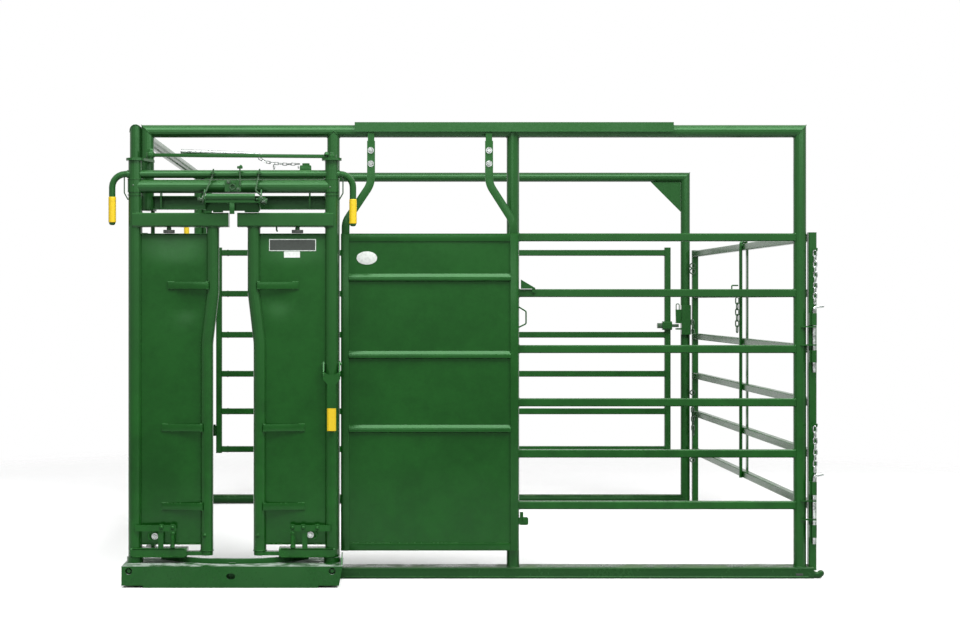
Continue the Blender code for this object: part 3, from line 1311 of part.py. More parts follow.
def make_squeeze_gate():
    rails = RAIL_Z
    foot = RAIL_Z[-1] - TUBE / 2
    ends = (SQUEEZE_FRONT, SQUEEZE_REAR)
    pieces = gate(*ends, SIDE_GATE_TOP, (foot, foot), rails, SQUEEZE_X)
    pivot = (*SQUEEZE_HINGE, 0.0)
    cuts = []
    sleeve_r = 0.0160
    for z in SQUEEZE_SLEEVES:
        low, high = z - 0.035, z + 0.035
        pieces.append(pipe((*SQUEEZE_HINGE, low), (*SQUEEZE_HINGE, high), sleeve_r, 12))
        pieces.append(
            box(
                (SQUEEZE_X + TUBE / 2 - 0.002, SQUEEZE_HINGE[1] + 0.002, low),
                (SQUEEZE_HINGE[0] - 0.002, SQUEEZE_FRONT + 0.004, high),
            )
        )
        x, y = SQUEEZE_HINGE
        bore_r = SQUEEZE_ROD_R + RUN
        cuts.append(pipe((x, y, low - 0.02), (x, y, high + 0.02), bore_r, ROD_SIDES))
    ear_y = SQUEEZE_REAR + TUBE / 2
    for x in (SQUEEZE_X - 0.0115, SQUEEZE_X + 0.0065):
        outline = link_pair_outline((ear_y - 0.004, LEVER_Z), 0.014, (LEVER_Y, LEVER_Z), 0.013)
        pieces.append(plate(outline, x, x + 0.005, "X"))
    frame = cut(join(pieces[0], *pieces[1:]), *cuts)
    named("squeeze_gate", "green_paint", frame, pivot)
    lever_pivot = (SQUEEZE_X, LEVER_Y, LEVER_Z)
    blade = plate(
        link_pair_outline((LEVER_Y, LEVER_Z - 0.066), 0.012, (LEVER_Y, LEVER_Z + 0.060), 0.014),
        SQUEEZE_X - 0.0055,
        SQUEEZE_X + 0.0055,
        "X",
    )
    claw = plate(
        [
            (LEVER_Y, LEVER_Z - 0.078),
            (LEVER_Y + 0.040, LEVER_Z - 0.072),
            (LEVER_Y + 0.046, LEVER_Z - 0.048),
            (LEVER_Y + 0.034, LEVER_Z - 0.048),
            (LEVER_Y + 0.030, LEVER_Z - 0.058),
            (LEVER_Y, LEVER_Z - 0.058),
        ],
        SQUEEZE_X - 0.0055,
        SQUEEZE_X + 0.0055,
        "X",
    )
    rod_r = 0.0100
    x, y = SQUEEZE_X, LEVER_Y
    stem_top = LEVER_TOP - 0.006
    stem = pipe((x, y, LEVER_Z + 0.050), (x, y, stem_top), rod_r, 12)
    pin = pipe((x - 0.0060, y, LEVER_Z), (x + 0.0060, y, LEVER_Z), 0.007, 12)
    named("squeeze_lever", "green_paint", join(blade, claw, stem, pin), lever_pivot)
    grip = pipe((x, y, LEVER_TOP - 0.120), (x, y, LEVER_TOP), 0.0160, 16)
    bore = pipe((x, y, LEVER_TOP - 0.130), (x, y, stem_top + GAP), rod_r + GAP, 12)
    named("squeeze_grip", "yellow_grip", cut(grip, bore), lever_pivot)


def make_fork_lever():
    """The forked lever on the right door post."""
    post_x = GATE_X + POST_OFFSET
    pin_z = FORK_PIN_Z
    half = GATE_PIPE_R + 0.0030
    wall = 0.0060
    pivot = (post_x, GATE_Y, pin_z)
    front = GATE_Y - GATE_PIPE_R - 0.0040
    prongs = []
    for side in (-1, 1):
        inner, outer = post_x + side * half, post_x + side * (half + wall)
        outline = link_pair_outline((GATE_Y, pin_z), 0.0150, (front, pin_z - 0.050), 0.0130, 4)
        prongs.append(plate(outline, inner, outer, "X"))
    yoke_outline = [
        (post_x - half - wall, pin_z - 0.036),
        (post_x - half - wall, pin_z - 0.070),
        (post_x - 0.0200, pin_z - 0.094),
        (post_x - 0.0195, FORK_GRIP_TOP + GAP),
        (post_x + 0.0195, FORK_GRIP_TOP + GAP),
        (post_x + 0.0200, pin_z - 0.094),
        (post_x + half + wall, pin_z - 0.070),
        (post_x + half + wall, pin_z - 0.036),
        (post_x + half, pin_z - 0.036),
        (post_x + 0.016, pin_z - 0.048),
        (post_x - 0.016, pin_z - 0.048),
        (post_x - half, pin_z - 0.036),
    ]
    yoke = plate(yoke_outline, front - 0.0100, front, "Y")
    bolts = []
    for side in (-1, 1):
        start = post_x + side * (GATE_PIPE_R + GAP)
        end = post_x + side * (half + wall + 0.008)
        bolts.append(pipe((start, GATE_Y, pin_z), (end, GATE_Y, pin_z), 0.0070, ROD_SIDES))
    named("fork_lever", "green_paint", join(yoke, *prongs, *bolts), pivot)
    grip_low = (post_x - 0.0210, front - 0.0160, FORK_GRIP_LOW)
    grip_high = (post_x + 0.0210, front + 0.0020, FORK_GRIP_TOP)
    grip = box(grip_low, grip_high, 0.007, 2)
    named("fork_grip", "yellow_grip", grip, pivot)


def build():
    make_front_header()
    make_front_right_post()
    make_front_rail_panel()
    make_headgate_side_post()
    make_left_side_frame()
    make_header_corner_leg()
    make_rear_beam()
    make_front_sill()
    make_rear_frame()
    make_door_track()
    make_door_side_guide()
    make_headgate_pan()
    make_threshold_arc()
    make_headgate_top_frame()
    make_release_shaft()
    make_latch()
    make_door("left", -1)
    make_door("right", 1)
    make_tie_bar()
    make_sliding_door()
    for side, top_x, foot_x in zip(("left", "right"), HANGER_X, HANGER_FOOT_X):
        make_door_hanger(f"{side}_door_hanger", top_x, foot_x)
    make_door_gravity_latch()
    make_rear_gate()
    make_side_gate()
    make_squeeze_gate()
    make_fork_lever()


clear_scene()
parts = make_collection(COLLECTION)
cutters = make_collection(CUTTERS)
cutters.hide_render = True
materials = {name: make_material(name, *values) for name, values in FINISHES.items()}
build()
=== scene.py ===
import math
import random

import bmesh
import bpy
from mathutils import Matrix, Vector, noise


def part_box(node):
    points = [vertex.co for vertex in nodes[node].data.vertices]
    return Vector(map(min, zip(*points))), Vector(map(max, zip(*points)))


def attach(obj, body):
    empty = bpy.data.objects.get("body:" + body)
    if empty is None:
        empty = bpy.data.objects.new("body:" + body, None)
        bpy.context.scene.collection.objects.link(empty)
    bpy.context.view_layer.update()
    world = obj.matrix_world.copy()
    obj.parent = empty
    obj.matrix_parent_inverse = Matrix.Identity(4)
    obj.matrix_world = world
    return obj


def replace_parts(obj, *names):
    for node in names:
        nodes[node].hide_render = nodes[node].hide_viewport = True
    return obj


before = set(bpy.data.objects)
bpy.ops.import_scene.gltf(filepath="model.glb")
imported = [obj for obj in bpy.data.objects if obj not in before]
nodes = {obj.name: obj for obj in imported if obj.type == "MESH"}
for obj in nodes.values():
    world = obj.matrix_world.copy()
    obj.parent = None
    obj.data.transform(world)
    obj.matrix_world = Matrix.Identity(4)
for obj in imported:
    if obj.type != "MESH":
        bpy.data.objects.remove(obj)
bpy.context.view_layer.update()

print("stage: frame loaded,", len(nodes), "parts")

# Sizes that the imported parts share, in metres
pen = {
    "pipe": 0.03015,  # radius of the frame pipes
    "gatePipe": 0.03175,  # radius of the head gate's pipes
    "tube": 0.0381,  # side of the square rails
    "headerZ": 2.1385,
    "rearDrop": 0.0055,
    "depth": 3.05,
    "legX": -1.5365,
    "sideX": -1.5945,
    "sideShift": 0.018,
    "bayPostX": -0.6466,
    "doorPostX": 0.2132,
    "rightX": 1.5875,
    "rails": (1.630, 1.363, 1.095, 0.840, 0.595, 0.348),
    "rearLift": 0.008,
    "rearGateEnd": 1.4706,
    "squeezeX": -1.5650,
    "squeezeY": (0.0750, 1.9500),
    "sideGateX": 1.6454,
    "sideGateRear": 3.020,
    "gateX": -1.1126,  # middle of the head gate
    "gateY": -0.170,
    "postOffset": 0.4614,  # from the head gate's middle to its posts
    "neck": (0.0965, 0.1245),  # from the head gate's middle to the neck pipes, above and below
    "neckLow": 0.1560,  # the neck pipes' foot
}
doors = {"left_door": -1, "right_door": 1}  # the head gate's doors and their side of its middle


def doorAt(x):
    return "left_door" if x < pen["gateX"] else "right_door"


# A shader socket that can stand in a sum
class Wire:
    def __init__(self, tree, socket):
        self.tree = tree
        self.socket = socket

    def maths(self, operation, first, second):
        made = self.tree.nodes.new("ShaderNodeMath")
        made.operation = operation
        for place, value in zip(made.inputs, (first, second)):
            if isinstance(value, Wire):
                self.tree.links.new(value.socket, place)
            else:
                place.default_value = value
        return Wire(self.tree, made.outputs[0])

    def __add__(self, other):
        return self.maths("ADD", self, other)

    def __radd__(self, other):
        return self.maths("ADD", other, self)

    def __sub__(self, other):
        return self.maths("SUBTRACT", self, other)

    def __rsub__(self, other):
        return self.maths("SUBTRACT", other, self)

    def __mul__(self, other):
        return self.maths("MULTIPLY", self, other)

    def __rmul__(self, other):
        return self.maths("MULTIPLY", other, self)

    def __gt__(self, other):
        return self.maths("GREATER_THAN", self, other)


class Finish:
    def __init__(self, name, roughness=0.4, metallic=0.0, tree=None):
        if tree is None:
            self.material = bpy.data.materials.new(name)
            self.material.use_nodes = True
            tree = self.material.node_tree
            self.shader = tree.nodes["Principled BSDF"]
            self.shader.inputs["Roughness"].default_value = roughness
            self.shader.inputs["Metallic"].default_value = metallic
        self.tree = tree

    # any node: its settings go in first, then the values or wires of its inputs
    def node(self, kind, settings=None, inputs=None, output=0):
        made = self.tree.nodes.new("ShaderNode" + kind)
        for key, value in (settings or {}).items():
            setattr(made, key, value)
        for key, value in (inputs or {}).items():
            if isinstance(value, Wire):
                self.tree.links.new(value.socket, made.inputs[key])
            else:
                made.inputs[key].default_value = value
        return Wire(self.tree, made.outputs[output])

    def set(self, key, wire):
        self.tree.links.new(wire.socket, self.shader.inputs[key])

    def mix(self, share, first, second):
        return self.node("Mix", {"data_type": "RGBA"}, {0: share, 6: first, 7: second}, output=2)

    def grain(self, place, scale, detail=3.0, roughness=0.55):
        inputs = {"Vector": place, "Scale": scale, "Detail": detail, "Roughness": roughness}
        return self.node("TexNoise", {}, inputs)

    def between(self, value, low, high, newLow=0.0, newHigh=1.0):
        inputs = {0: value, 1: low, 2: high, 3: newLow, 4: newHigh}
        return self.node("MapRange", {"interpolation_type": "SMOOTHSTEP"}, inputs)

    def bump(self, height, strength, distance):
        inputs = {"Height": height, "Strength": strength, "Distance": distance}
        self.set("Normal", self.node("Bump", {}, inputs))


# Green enamel, sprayed over welded steel: slight mottle, orange peel, chips and yard dust, with painted
# light that makes it paler and greyer higher up
paintLook = {
    "deep": (0.0020, 0.037, 0.0022, 1),
    "light": (0.0050, 0.068, 0.0052, 1),
    "paintedLightColour": (0.0160, 0.066, 0.0170, 1),
    "paintedLightShare": 0.80,
    "paintedLightHeights": (0.10, 1.72),  # painted light: the enamel is painted paler and greyer from the first height up to the second, standing in for light from above
    "dust": (0.12, 0.17, 0.09, 1),
    "dustTop": 0.10,  # how much of it lies on faces that look up
    "primer": (0.030, 0.045, 0.026, 1),
    "wear": 0.10,
    "gloss": (0.30, 0.60, 0.33, 1),  # tint of what the enamel mirrors when seen square on
    "roughness": (0.17, 0.27),
    "peel": 0.012,
    "peelScale": 240,
}
# the sheets get less of the painted light from above
sheetPaint = {"light": (0.0044, 0.054, 0.0046, 1), "paintedLightShare": 0.30, "peel": 0.010, "wear": 0.05}
panPaint = {
    "deep": (0.0035, 0.046, 0.0045, 1),
    "light": (0.0070, 0.060, 0.0080, 1),
    "dust": (0.22, 0.26, 0.23, 1),
    "dustTop": 1.3,
    "wear": 0.2,
    "roughness": (0.22, 0.40),
}
# painted shade: the sills' enamel is a darker copy of the frame enamel, standing in for the shade near the
# ground
sillShadedPaint = {"light": (0.0014, 0.030, 0.0018, 1), "deep": (0.0010, 0.024, 0.0012, 1), "dustTop": 0.4}
rodPaint = {
    "deep": (0.022, 0.045, 0.026, 1),
    "light": (0.050, 0.085, 0.056, 1),
    "gloss": (1, 1, 1, 1),
    "wear": 1.0,
}


def makePaint(name, **changes):
    look = {**paintLook, **changes}
    paint = Finish(name)
    place = paint.node("TexCoord", output=3)
    broad = paint.grain(place, 2.3, 4, 0.6)
    cloud = paint.grain(place, 11.0, 3, 0.6)
    fine = paint.grain(place, 70.0, 2, 0.5)
    peel = paint.grain(place, look["peelScale"], 1, 0.4)
    tone = paint.between(broad * 0.6 + cloud * 0.4, 0.36, 0.64)
    colour = paint.mix(tone, look["deep"], look["light"])
    speckle = paint.between(fine, 0.30, 0.70, 0.97, 1.03)
    colour = paint.node("VectorMath", {"operation": "SCALE"}, {0: colour, "Scale": speckle})
    height = paint.node("SeparateXYZ", {}, {0: place}, output=2)
    facing = paint.node("SeparateXYZ", {}, {0: paint.node("NewGeometry", output=1)}, output=2)
    # painted light: paler and greyer with height, standing in for light falling from above
    paintedLight = paint.between(height, *look["paintedLightHeights"], 0.10, 1.0) * look["paintedLightShare"]
    colour = paint.mix(paintedLight, colour, look["paintedLightColour"])
    settled = paint.between(facing, 0.55, 0.98) * paint.between(cloud, 0.38, 0.66) * look["dustTop"]
    low = paint.between(height, 0.02, 0.30, 1.0, 0.0) * paint.between(broad, 0.40, 0.62) * 0.02
    colour = paint.mix(settled + low, colour, look["dust"])
    chips = paint.between(paint.grain(place, 95.0, 2, 0.7), 0.745, 0.765)
    worn = chips * paint.between(cloud, 0.50, 0.58) * look["wear"]
    colour = paint.mix(worn, colour, look["primer"])
    paint.set("Base Color", colour)
    smooth, dull = look["roughness"]
    rough = paint.between(broad * 0.5 + fine * 0.5, 0.35, 0.65, smooth, dull)
    paint.set("Roughness", rough + (settled + low) * 0.9)
    paint.shader.inputs["Specular Tint"].default_value = look["gloss"]
    paint.bump(peel * 0.35 + cloud * 0.65, look["peel"], 0.004)
    return paint.material


# Zinc plate: cloudy grey with a faint spangle
zincLook = {
    "dark": (0.17, 0.185, 0.175, 1),
    "bright": (0.44, 0.47, 0.455, 1),
    "roughness": (0.20, 0.38),
}


def makeZinc():
    zinc = Finish("zinc plate", metallic=0.92)
    place = zinc.node("TexCoord", output=3)
    cells = zinc.node("TexVoronoi", {}, {"Vector": place, "Scale": 130.0}, output=1)
    cells = zinc.node("SeparateColor", {}, {0: cells})
    cloud = zinc.grain(place, 55.0, 3)
    tone = zinc.between(cells * 0.35 + cloud * 0.65, 0.25, 0.75)
    zinc.set("Base Color", zinc.mix(tone, zincLook["dark"], zincLook["bright"]))
    bright, dull = zincLook["roughness"]
    zinc.set("Roughness", zinc.between(cloud, 0.3, 0.7, bright, dull))
    zinc.bump(cloud, 0.08, 0.002)
    return zinc.material


# Dipped vinyl grips: warm yellow, a little grimy where hands hold them
gripLook = {
    "clean": (0.62, 0.43, 0.002, 1),
    "grimy": (0.44, 0.28, 0.006, 1),
    "roughness": (0.34, 0.55),
}


def makeGripVinyl():
    vinyl = Finish("yellow vinyl")
    place = vinyl.node("TexCoord", output=3)
    cloud = vinyl.grain(place, 60.0, 4)
    fine = vinyl.grain(place, 420.0, 2)
    grime = vinyl.between(cloud, 0.55, 0.78) * 0.55
    vinyl.set("Base Color", vinyl.mix(grime, gripLook["clean"], gripLook["grimy"]))
    smooth, dull = gripLook["roughness"]
    vinyl.set("Roughness", vinyl.between(cloud, 0.35, 0.65, smooth, dull))
    vinyl.bump(fine, 0.12, 0.002)
    return vinyl.material


# Moulded rubber of the door stops; its black also paints the shade of the sill's slot
rubberLook = {"dark": (0.010, 0.013, 0.010, 1), "chalky": (0.045, 0.050, 0.045, 1)}


def makeRubber():
    rubber = Finish("black rubber")
    place = rubber.node("TexCoord", output=3)
    cloud = rubber.grain(place, 45.0, 4)
    fine = rubber.grain(place, 500.0, 2)
    chalk = rubber.between(cloud, 0.4, 0.75)
    rubber.set("Base Color", rubber.mix(chalk, rubberLook["dark"], rubberLook["chalky"]))
    rubber.set("Roughness", rubber.between(cloud, 0.3, 0.7, 0.55, 0.8))
    rubber.bump(fine, 0.2, 0.002)
    return rubber.material


# Plates and badge: an even colour, a little clouded
def makePlateFace(name, colour, roughness, metallic=0.0):
    face = Finish(name, roughness, metallic)
    place = face.node("TexCoord", output=3)
    cloud = face.grain(place, 90.0, 4)
    darker = tuple(0.78 * part for part in colour[:3]) + (1,)
    face.set("Base Color", face.mix(face.between(cloud, 0.35, 0.75), colour, darker))
    face.set("Roughness", face.between(cloud, 0.3, 0.7, roughness, roughness + 0.15))
    face.bump(face.grain(place, 600.0, 1), 0.05, 0.001)
    return face.material


finishes = {
    "frame": makePaint("green enamel"),
    "sheet": makePaint("green enamel on sheet", **sheetPaint),
    "pan": makePaint("green enamel underfoot", **panPaint),
    "sill": makePaint("green enamel with painted shade near the ground", **sillShadedPaint),
    "rod": makePaint("green rod steel", **rodPaint),
    "zinc": makeZinc(),
    "grip": makeGripVinyl(),
    "rubber": makeRubber(),
    "plateDark": makePlateFace("blank plate", (0.008, 0.014, 0.009, 1), 0.42),
    "plateEdge": makePlateFace("plate border", (0.46, 0.50, 0.47, 1), 0.35, 0.6),
    "badge": makePlateFace("white enamel", (0.60, 0.63, 0.60, 1), 0.30),
}
print("stage: finishes made")

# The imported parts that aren't in plain frame enamel
finishedParts = {
    "sheet": ("left_door_sheet", "right_door_sheet", "sliding_door_panel"),
    "pan": ("headgate_pan", "threshold_arc"),
    # the sills get the enamel darkened as painted shade
    "sill": ("front_sill", "rear_sill"),
    "rod": ("left_lift_rod", "right_lift_rod", "rear_slam_bolt"),
    "zinc": ("lock_pin", "upper_drop_pin", "lower_drop_pin", "upper_pin_chain", "lower_pin_chain"),
    "grip": ("left_release_grip", "right_release_grip", "fork_grip", "squeeze_grip"),
    "rubber": ("left_door_bumper", "right_door_bumper"),
}
edgeRound = {"width": 0.0011, "segments": 2, "angle": 38}  # the slight rounding of every worked edge


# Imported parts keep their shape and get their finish, softer edges and even shading
def dressNodes():
    finishOf = {name: finish for finish, names in finishedParts.items() for name in names}
    for name, part in nodes.items():
        part.data.materials.clear()
        part.data.materials.append(finishes[finishOf.get(name, "frame")])
        part.data.shade_smooth()
        part.data.set_sharp_from_angle(angle=math.radians(50))
        rounding = part.modifiers.new("edge rounding", "BEVEL")
        rounding.width = edgeRound["width"]
        rounding.segments = edgeRound["segments"]
        rounding.angle_limit = math.radians(edgeRound["angle"])
        rounding.limit_method = "ANGLE"
        rounding.harden_normals = False
        evened = part.modifiers.new("even shading", "WEIGHTED_NORMAL")
        evened.keep_sharp = True


dressNodes()
print("stage: packed parts finished")


# a finished mesh becomes a piece that rides on its body
def newPiece(name, bm, finish, body, angle=42):
    bmesh.ops.recalc_face_normals(bm, faces=bm.faces)
    mesh = bpy.data.meshes.new(name)
    bm.to_mesh(mesh)
    bm.free()
    mesh.materials.append(finishes[finish])
    mesh.shade_smooth()
    mesh.set_sharp_from_angle(angle=math.radians(angle))
    piece = bpy.data.objects.new(name, mesh)
    bpy.context.scene.collection.objects.link(piece)
    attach(piece, body)
    return piece


# the angles of a whole turn, and of an arc from one angle in degrees to another
def around(count, shift=0.0):
    return [math.tau * (n + shift) / count for n in range(count)]


def arc(start, end, steps):
    return [math.radians(start + (end - start) * n / steps) for n in range(steps + 1)]


def joinRings(bm, rings, closed=False):
    for lower, upper in zip(rings, rings[1:]):
        count = max(len(lower), len(upper))
        for n in range(count):
            corners = [lower[n % len(lower)], lower[(n + 1) % len(lower)]]
            corners += [upper[(n + 1) % len(upper)], upper[n % len(upper)]]
            unique = list(dict.fromkeys(corners))
            if len(unique) > 2:
                bm.faces.new(unique)
    if closed:
        first, last = rings[0], rings[-1]
        shift = min(range(len(first)), key=lambda n: (first[n].co - last[0].co).length)
        joinRings(bm, [last, first[shift:] + first[:shift]])


# joins rings into a body with a flat face at either end
def closeEnds(bm, rings):
    joinRings(bm, rings)
    bm.faces.new(rings[0])
    bm.faces.new(rings[-1])


def sweep(bm, points, radius, sides=8, closed=False, swell=None):
    points = [Vector(point) for point in points]
    count = len(points)
    rings = []
    normal = None
    for number, point in enumerate(points):
        before = points[number - 1] if number or closed else point
        after = points[(number + 1) % count] if number + 1 < count or closed else point
        heading = (after - before).normalized()
        if normal is None:
            normal = heading.orthogonal().normalized()
        normal = (normal - heading * normal.dot(heading)).normalized()
        side = heading.cross(normal)
        reach = radius * (swell(number) if swell else 1.0)
        spokes = [normal * math.cos(a) + side * math.sin(a) for a in around(sides)]
        rings.append([bm.verts.new(point + spoke * reach) for spoke in spokes])
    if closed:
        joinRings(bm, rings, closed)
    else:
        closeEnds(bm, rings)


def turned(bm, profile, centre, axis, sides=24):
    spin = Vector(axis).to_track_quat("Z", "Y").to_matrix()
    rings = []
    for radius, along in profile:
        turns = around(sides, 0.5) if radius > 1e-6 else [0.0]
        spots = [Vector((radius * math.cos(a), radius * math.sin(a), along)) for a in turns]
        rings.append([bm.verts.new(Vector(centre) + spin @ spot) for spot in spots])
    joinRings(bm, rings)


def hexBolt(bm, centre, axis, across, height, washer=1.35, stub=0.0):
    half = across / 2 / math.cos(math.pi / 6)
    face = Vector(axis).normalized()
    base = Vector(centre)
    if washer:
        wide, thick = half * washer, across * 0.11
        rim = [(0, 0), (wide, 0), (wide, thick * 0.7), (wide * 0.97, thick), (0, thick)]
        turned(bm, rim, base, face, 28)
        base = base + face * thick
    head = [(0, 0), (half, 0), (half, height * 0.84), (half * 0.88, height), (0, height)]
    turned(bm, head, base, face, 6)
    if stub:
        thread = half * 0.52
        rings = [(0, height * 0.9)]
        step = 0.0016
        for n in range(int(stub / step)):
            rings.append((thread * (1.0 if n % 2 else 0.9), height + n * step))
        rings.append((0, height + stub))
        turned(bm, rings, base, face, 14)


def domeBolt(bm, centre, axis, radius, height):
    arc = [(radius * math.cos(a), height * math.sin(a)) for a in (0, 0.3, 0.6, 0.9, 1.2, math.pi / 2)]
    turned(bm, [(radius, -0.001), *arc[:-1], (0, height)], centre, axis, 20)


def spaced(points, gap, closed=True):
    points = [Vector(point) for point in points]
    if closed:
        points = [*points, points[0]]
    made = []
    for start, end in zip(points, points[1:]):
        steps = max(1, round((end - start).length / gap))
        made += [start.lerp(end, n / steps) for n in range(steps)]
    if not closed:
        made.append(points[-1])
    return made


# Weld beads: a rippled fillet laid round each joint
weldLook = {"radius": 0.0030, "gap": 0.0042, "ripple": 0.22, "pitch": 3}
weldShapes = {}


def layWeld(body, points, closed=True, radius=None):
    bm = weldShapes.setdefault(body, bmesh.new())
    path = spaced(points, weldLook["gap"], closed)
    shake = random.Random(len(bm.verts) + len(path))
    lift = [shake.uniform(-0.14, 0.14) for _ in path]

    def swell(number):
        wave = math.cos(math.tau * number / weldLook["pitch"])
        return 1.0 + weldLook["ripple"] * wave + lift[number]

    sweep(bm, path, radius or weldLook["radius"], 6, closed, swell)


def roundedSquare(half, corner=0.0045):
    points = []
    for turn in range(4):
        middle = math.radians(90 * turn + 45)
        centre = (half - corner) * math.sqrt(2)
        for a in arc(90 * turn, 90 * turn + 90, 2):
            x = centre * math.cos(middle) + corner * math.cos(a)
            points.append((x, centre * math.sin(middle) + corner * math.sin(a)))
    return points


# a square rail's end on an upright pipe; side is the side of the pipe that the rail leaves from
def weldRailToPipe(body, pipeX, pipeY, radius, z, along, side, across=0.0):
    outline = spaced([(a, b, 0) for a, b in roundedSquare(pen["tube"] / 2)], 0.004)
    loop = []
    for a, b, _ in outline:
        off = a + across
        reach = math.sqrt(max(radius * radius - off * off, 0.0)) * side
        x, y = (reach, off) if along == "X" else (off, reach)
        loop.append((pipeX + x, pipeY + y, z + b))
    layWeld(body, loop)


# a square rail's end on a flat face
def weldRailToFlat(body, x, y, z, along):
    loop = []
    for a, b in roundedSquare(pen["tube"] / 2 - 0.0006):
        loop.append((x, y + a, z + b) if along == "X" else (x + a, y, z + b))
    layWeld(body, loop)


# an upright pipe's top under a level pipe along X
def weldPipeUnderPipe(body, x, y, z, radius):
    loop = []
    for a in around(40):
        over = radius * math.sin(a)
        loop.append((x + radius * math.cos(a), y + over, z - math.sqrt(radius**2 - over**2)))
    layWeld(body, loop)


# a corner cut at 45 degrees; lean is +1 where the outer side is at +X or +Y
def weldMitre(body, x, y, z, radius, lean, along="X"):
    loop = []
    for a in around(44):
        out, over = radius * 1.004 * math.cos(a), radius * 1.004 * math.sin(a)
        rise = z + lean * out
        loop.append((x + out, y + over, rise) if along == "X" else (x + over, y + out, rise))
    layWeld(body, loop, radius=0.0021)


def weldRing(body, x, y, z, radius, bead=0.0030):
    loop = [(x + radius * math.cos(a), y + radius * math.sin(a), z) for a in around(40)]
    layWeld(body, loop, radius=bead)


def layFrameWelds():
    pipe, depth, top = pen["pipe"], pen["depth"], pen["headerZ"]
    sideX, sideY = pen["sideX"], pen["sideShift"]
    flush = pen["tube"] / 2 - pipe
    for z in pen["rails"]:
        weldRailToPipe("pen_frame", pen["rightX"], 0, pipe, z, "X", -1)
        weldRailToPipe("pen_frame", pen["doorPostX"], 0, pipe, z, "X", 1)
        weldRailToPipe("pen_frame", sideX, sideY, pipe, z, "Y", 1, flush)
        weldRailToPipe("pen_frame", sideX, depth + sideY, pipe, z, "Y", -1, flush)
    for x in (pen["doorPostX"], pen["bayPostX"]):
        weldPipeUnderPipe("pen_frame", x, 0, top, pipe)
    for y, z in ((0, top), (depth, top - pen["rearDrop"])):
        weldMitre("pen_frame", pen["rightX"], y, z, pipe, 1)
        weldMitre("pen_frame", pen["legX"], y, z, pipe, -1)
    weldMitre("pen_frame", sideX, sideY, top, pipe, -1, "Y")
    weldMitre("pen_frame", sideX, depth + sideY, top, pipe, 1, "Y")
    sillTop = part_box("front_sill")[1].z + 0.001
    for x in (pen["rightX"], pen["doorPostX"]):
        weldRing("pen_frame", x, 0, sillTop, pipe)


def layGateWelds():
    half = pen["tube"] / 2
    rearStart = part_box("rear_gate")[0].x + pen["tube"]
    near, far = pen["squeezeY"]
    for z in pen["rails"]:
        for x in (rearStart, pen["rearGateEnd"] - half):
            weldRailToFlat("rear_swing_gate", x, pen["depth"], z + pen["rearLift"], "X")
        for y in (half, pen["sideGateRear"] - half):
            weldRailToFlat("side_swing_gate", pen["sideGateX"], y, z, "Y")
        for y in (near + half, far - half):
            weldRailToFlat("squeeze_swing_gate", pen["squeezeX"], y, z, "Y")


def layDoorWelds():
    pipe, y = pen["gatePipe"], pen["gateY"]
    neckTop, neckFoot = pen["neck"]
    for body, side in doors.items():
        x = pen["gateX"] + side * pen["postOffset"]
        low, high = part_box(f"{body}_arm")
        for z in (low.z - 0.001, high.z + 0.001):
            turns = arc(-78, 78, 23)
            collar = [(x - side * pipe * math.cos(a), y + pipe * math.sin(a), z) for a in turns]
            layWeld(body, collar, closed=False)
        weldRing(body, pen["gateX"] + side * neckTop, y, low.z - 0.001, pen["pipe"])
        weldRing(body, pen["gateX"] + side * neckFoot, y, pen["neckLow"], pen["pipe"], 0.0026)


def closeWelds():
    for body, bm in weldShapes.items():
        newPiece(f"welds_{body}", bm, "frame", body, angle=60)


layFrameWelds()
layGateWelds()
layDoorWelds()
print("stage: welds laid")


# Small fittings are gathered by body and finish, and made into one piece each
fittings = {}


def fitting(body, finish="frame"):
    return fittings.setdefault((body, finish), bmesh.new())


def addShape(bm, part, soft=0.0, segments=2):
    bmesh.ops.recalc_face_normals(part, faces=part.faces)
    if soft:
        sharp = [edge for edge in part.edges if edge.calc_face_angle(0) > 0.5]
        bmesh.ops.bevel(part, geom=sharp, offset=soft, segments=segments, affect="EDGES", profile=0.6)
    holder = bpy.data.meshes.new("part")
    part.to_mesh(holder)
    part.free()
    bm.from_mesh(holder)
    bpy.data.meshes.remove(holder)


# an outline drawn across an axis and carried along it
def slab(bm, outline, low, high, axis="Y", soft=0.0012):
    place = {
        "X": lambda a, b, c: (c, a, b),
        "Y": lambda a, b, c: (a, c, b),
        "Z": lambda a, b, c: (a, b, c),
    }[axis]
    part = bmesh.new()
    ends = [[part.verts.new(place(a, b, c)) for a, b in outline] for c in (low, high)]
    part.faces.new(ends[0])
    part.faces.new(ends[1])
    joinRings(part, ends)
    addShape(bm, part, soft)


def block(bm, low, high, soft=0.0015):
    outline = [(low[0], low[1]), (high[0], low[1]), (high[0], high[1]), (low[0], high[1])]
    slab(bm, outline, low[2], high[2], "Z", soft)


# a path with its corners rounded
def eased(points, radius, steps=5):
    points = [Vector(point) for point in points]
    made = [points[0]]
    for before, corner, after in zip(points, points[1:], points[2:]):
        way, onward = (before - corner).normalized(), (after - corner).normalized()
        half = way.angle(onward) / 2
        room = min((before - corner).length, (after - corner).length) * 0.49
        reach = min(radius / math.tan(half), room)
        start, end = corner + way * reach, corner + onward * reach
        for n in range(steps + 1):
            f = n / steps
            made.append(start.lerp(corner, f).lerp(corner.lerp(end, f), f))
    return [*made, points[-1]]


# a flat bar along a path in the plane across Y
def strap(bm, path, width, front, back, soft=0.0012):
    left, right = [], []
    for before, point, after in zip([path[0], *path], path, [*path[1:], path[-1]]):
        ahead = (after - before).normalized()
        side = Vector((ahead.z, 0, -ahead.x)) * width / 2
        left.append((point.x - side.x, point.z - side.z))
        right.append((point.x + side.x, point.z + side.z))
    slab(bm, left + right[::-1], front, back, "Y", soft)


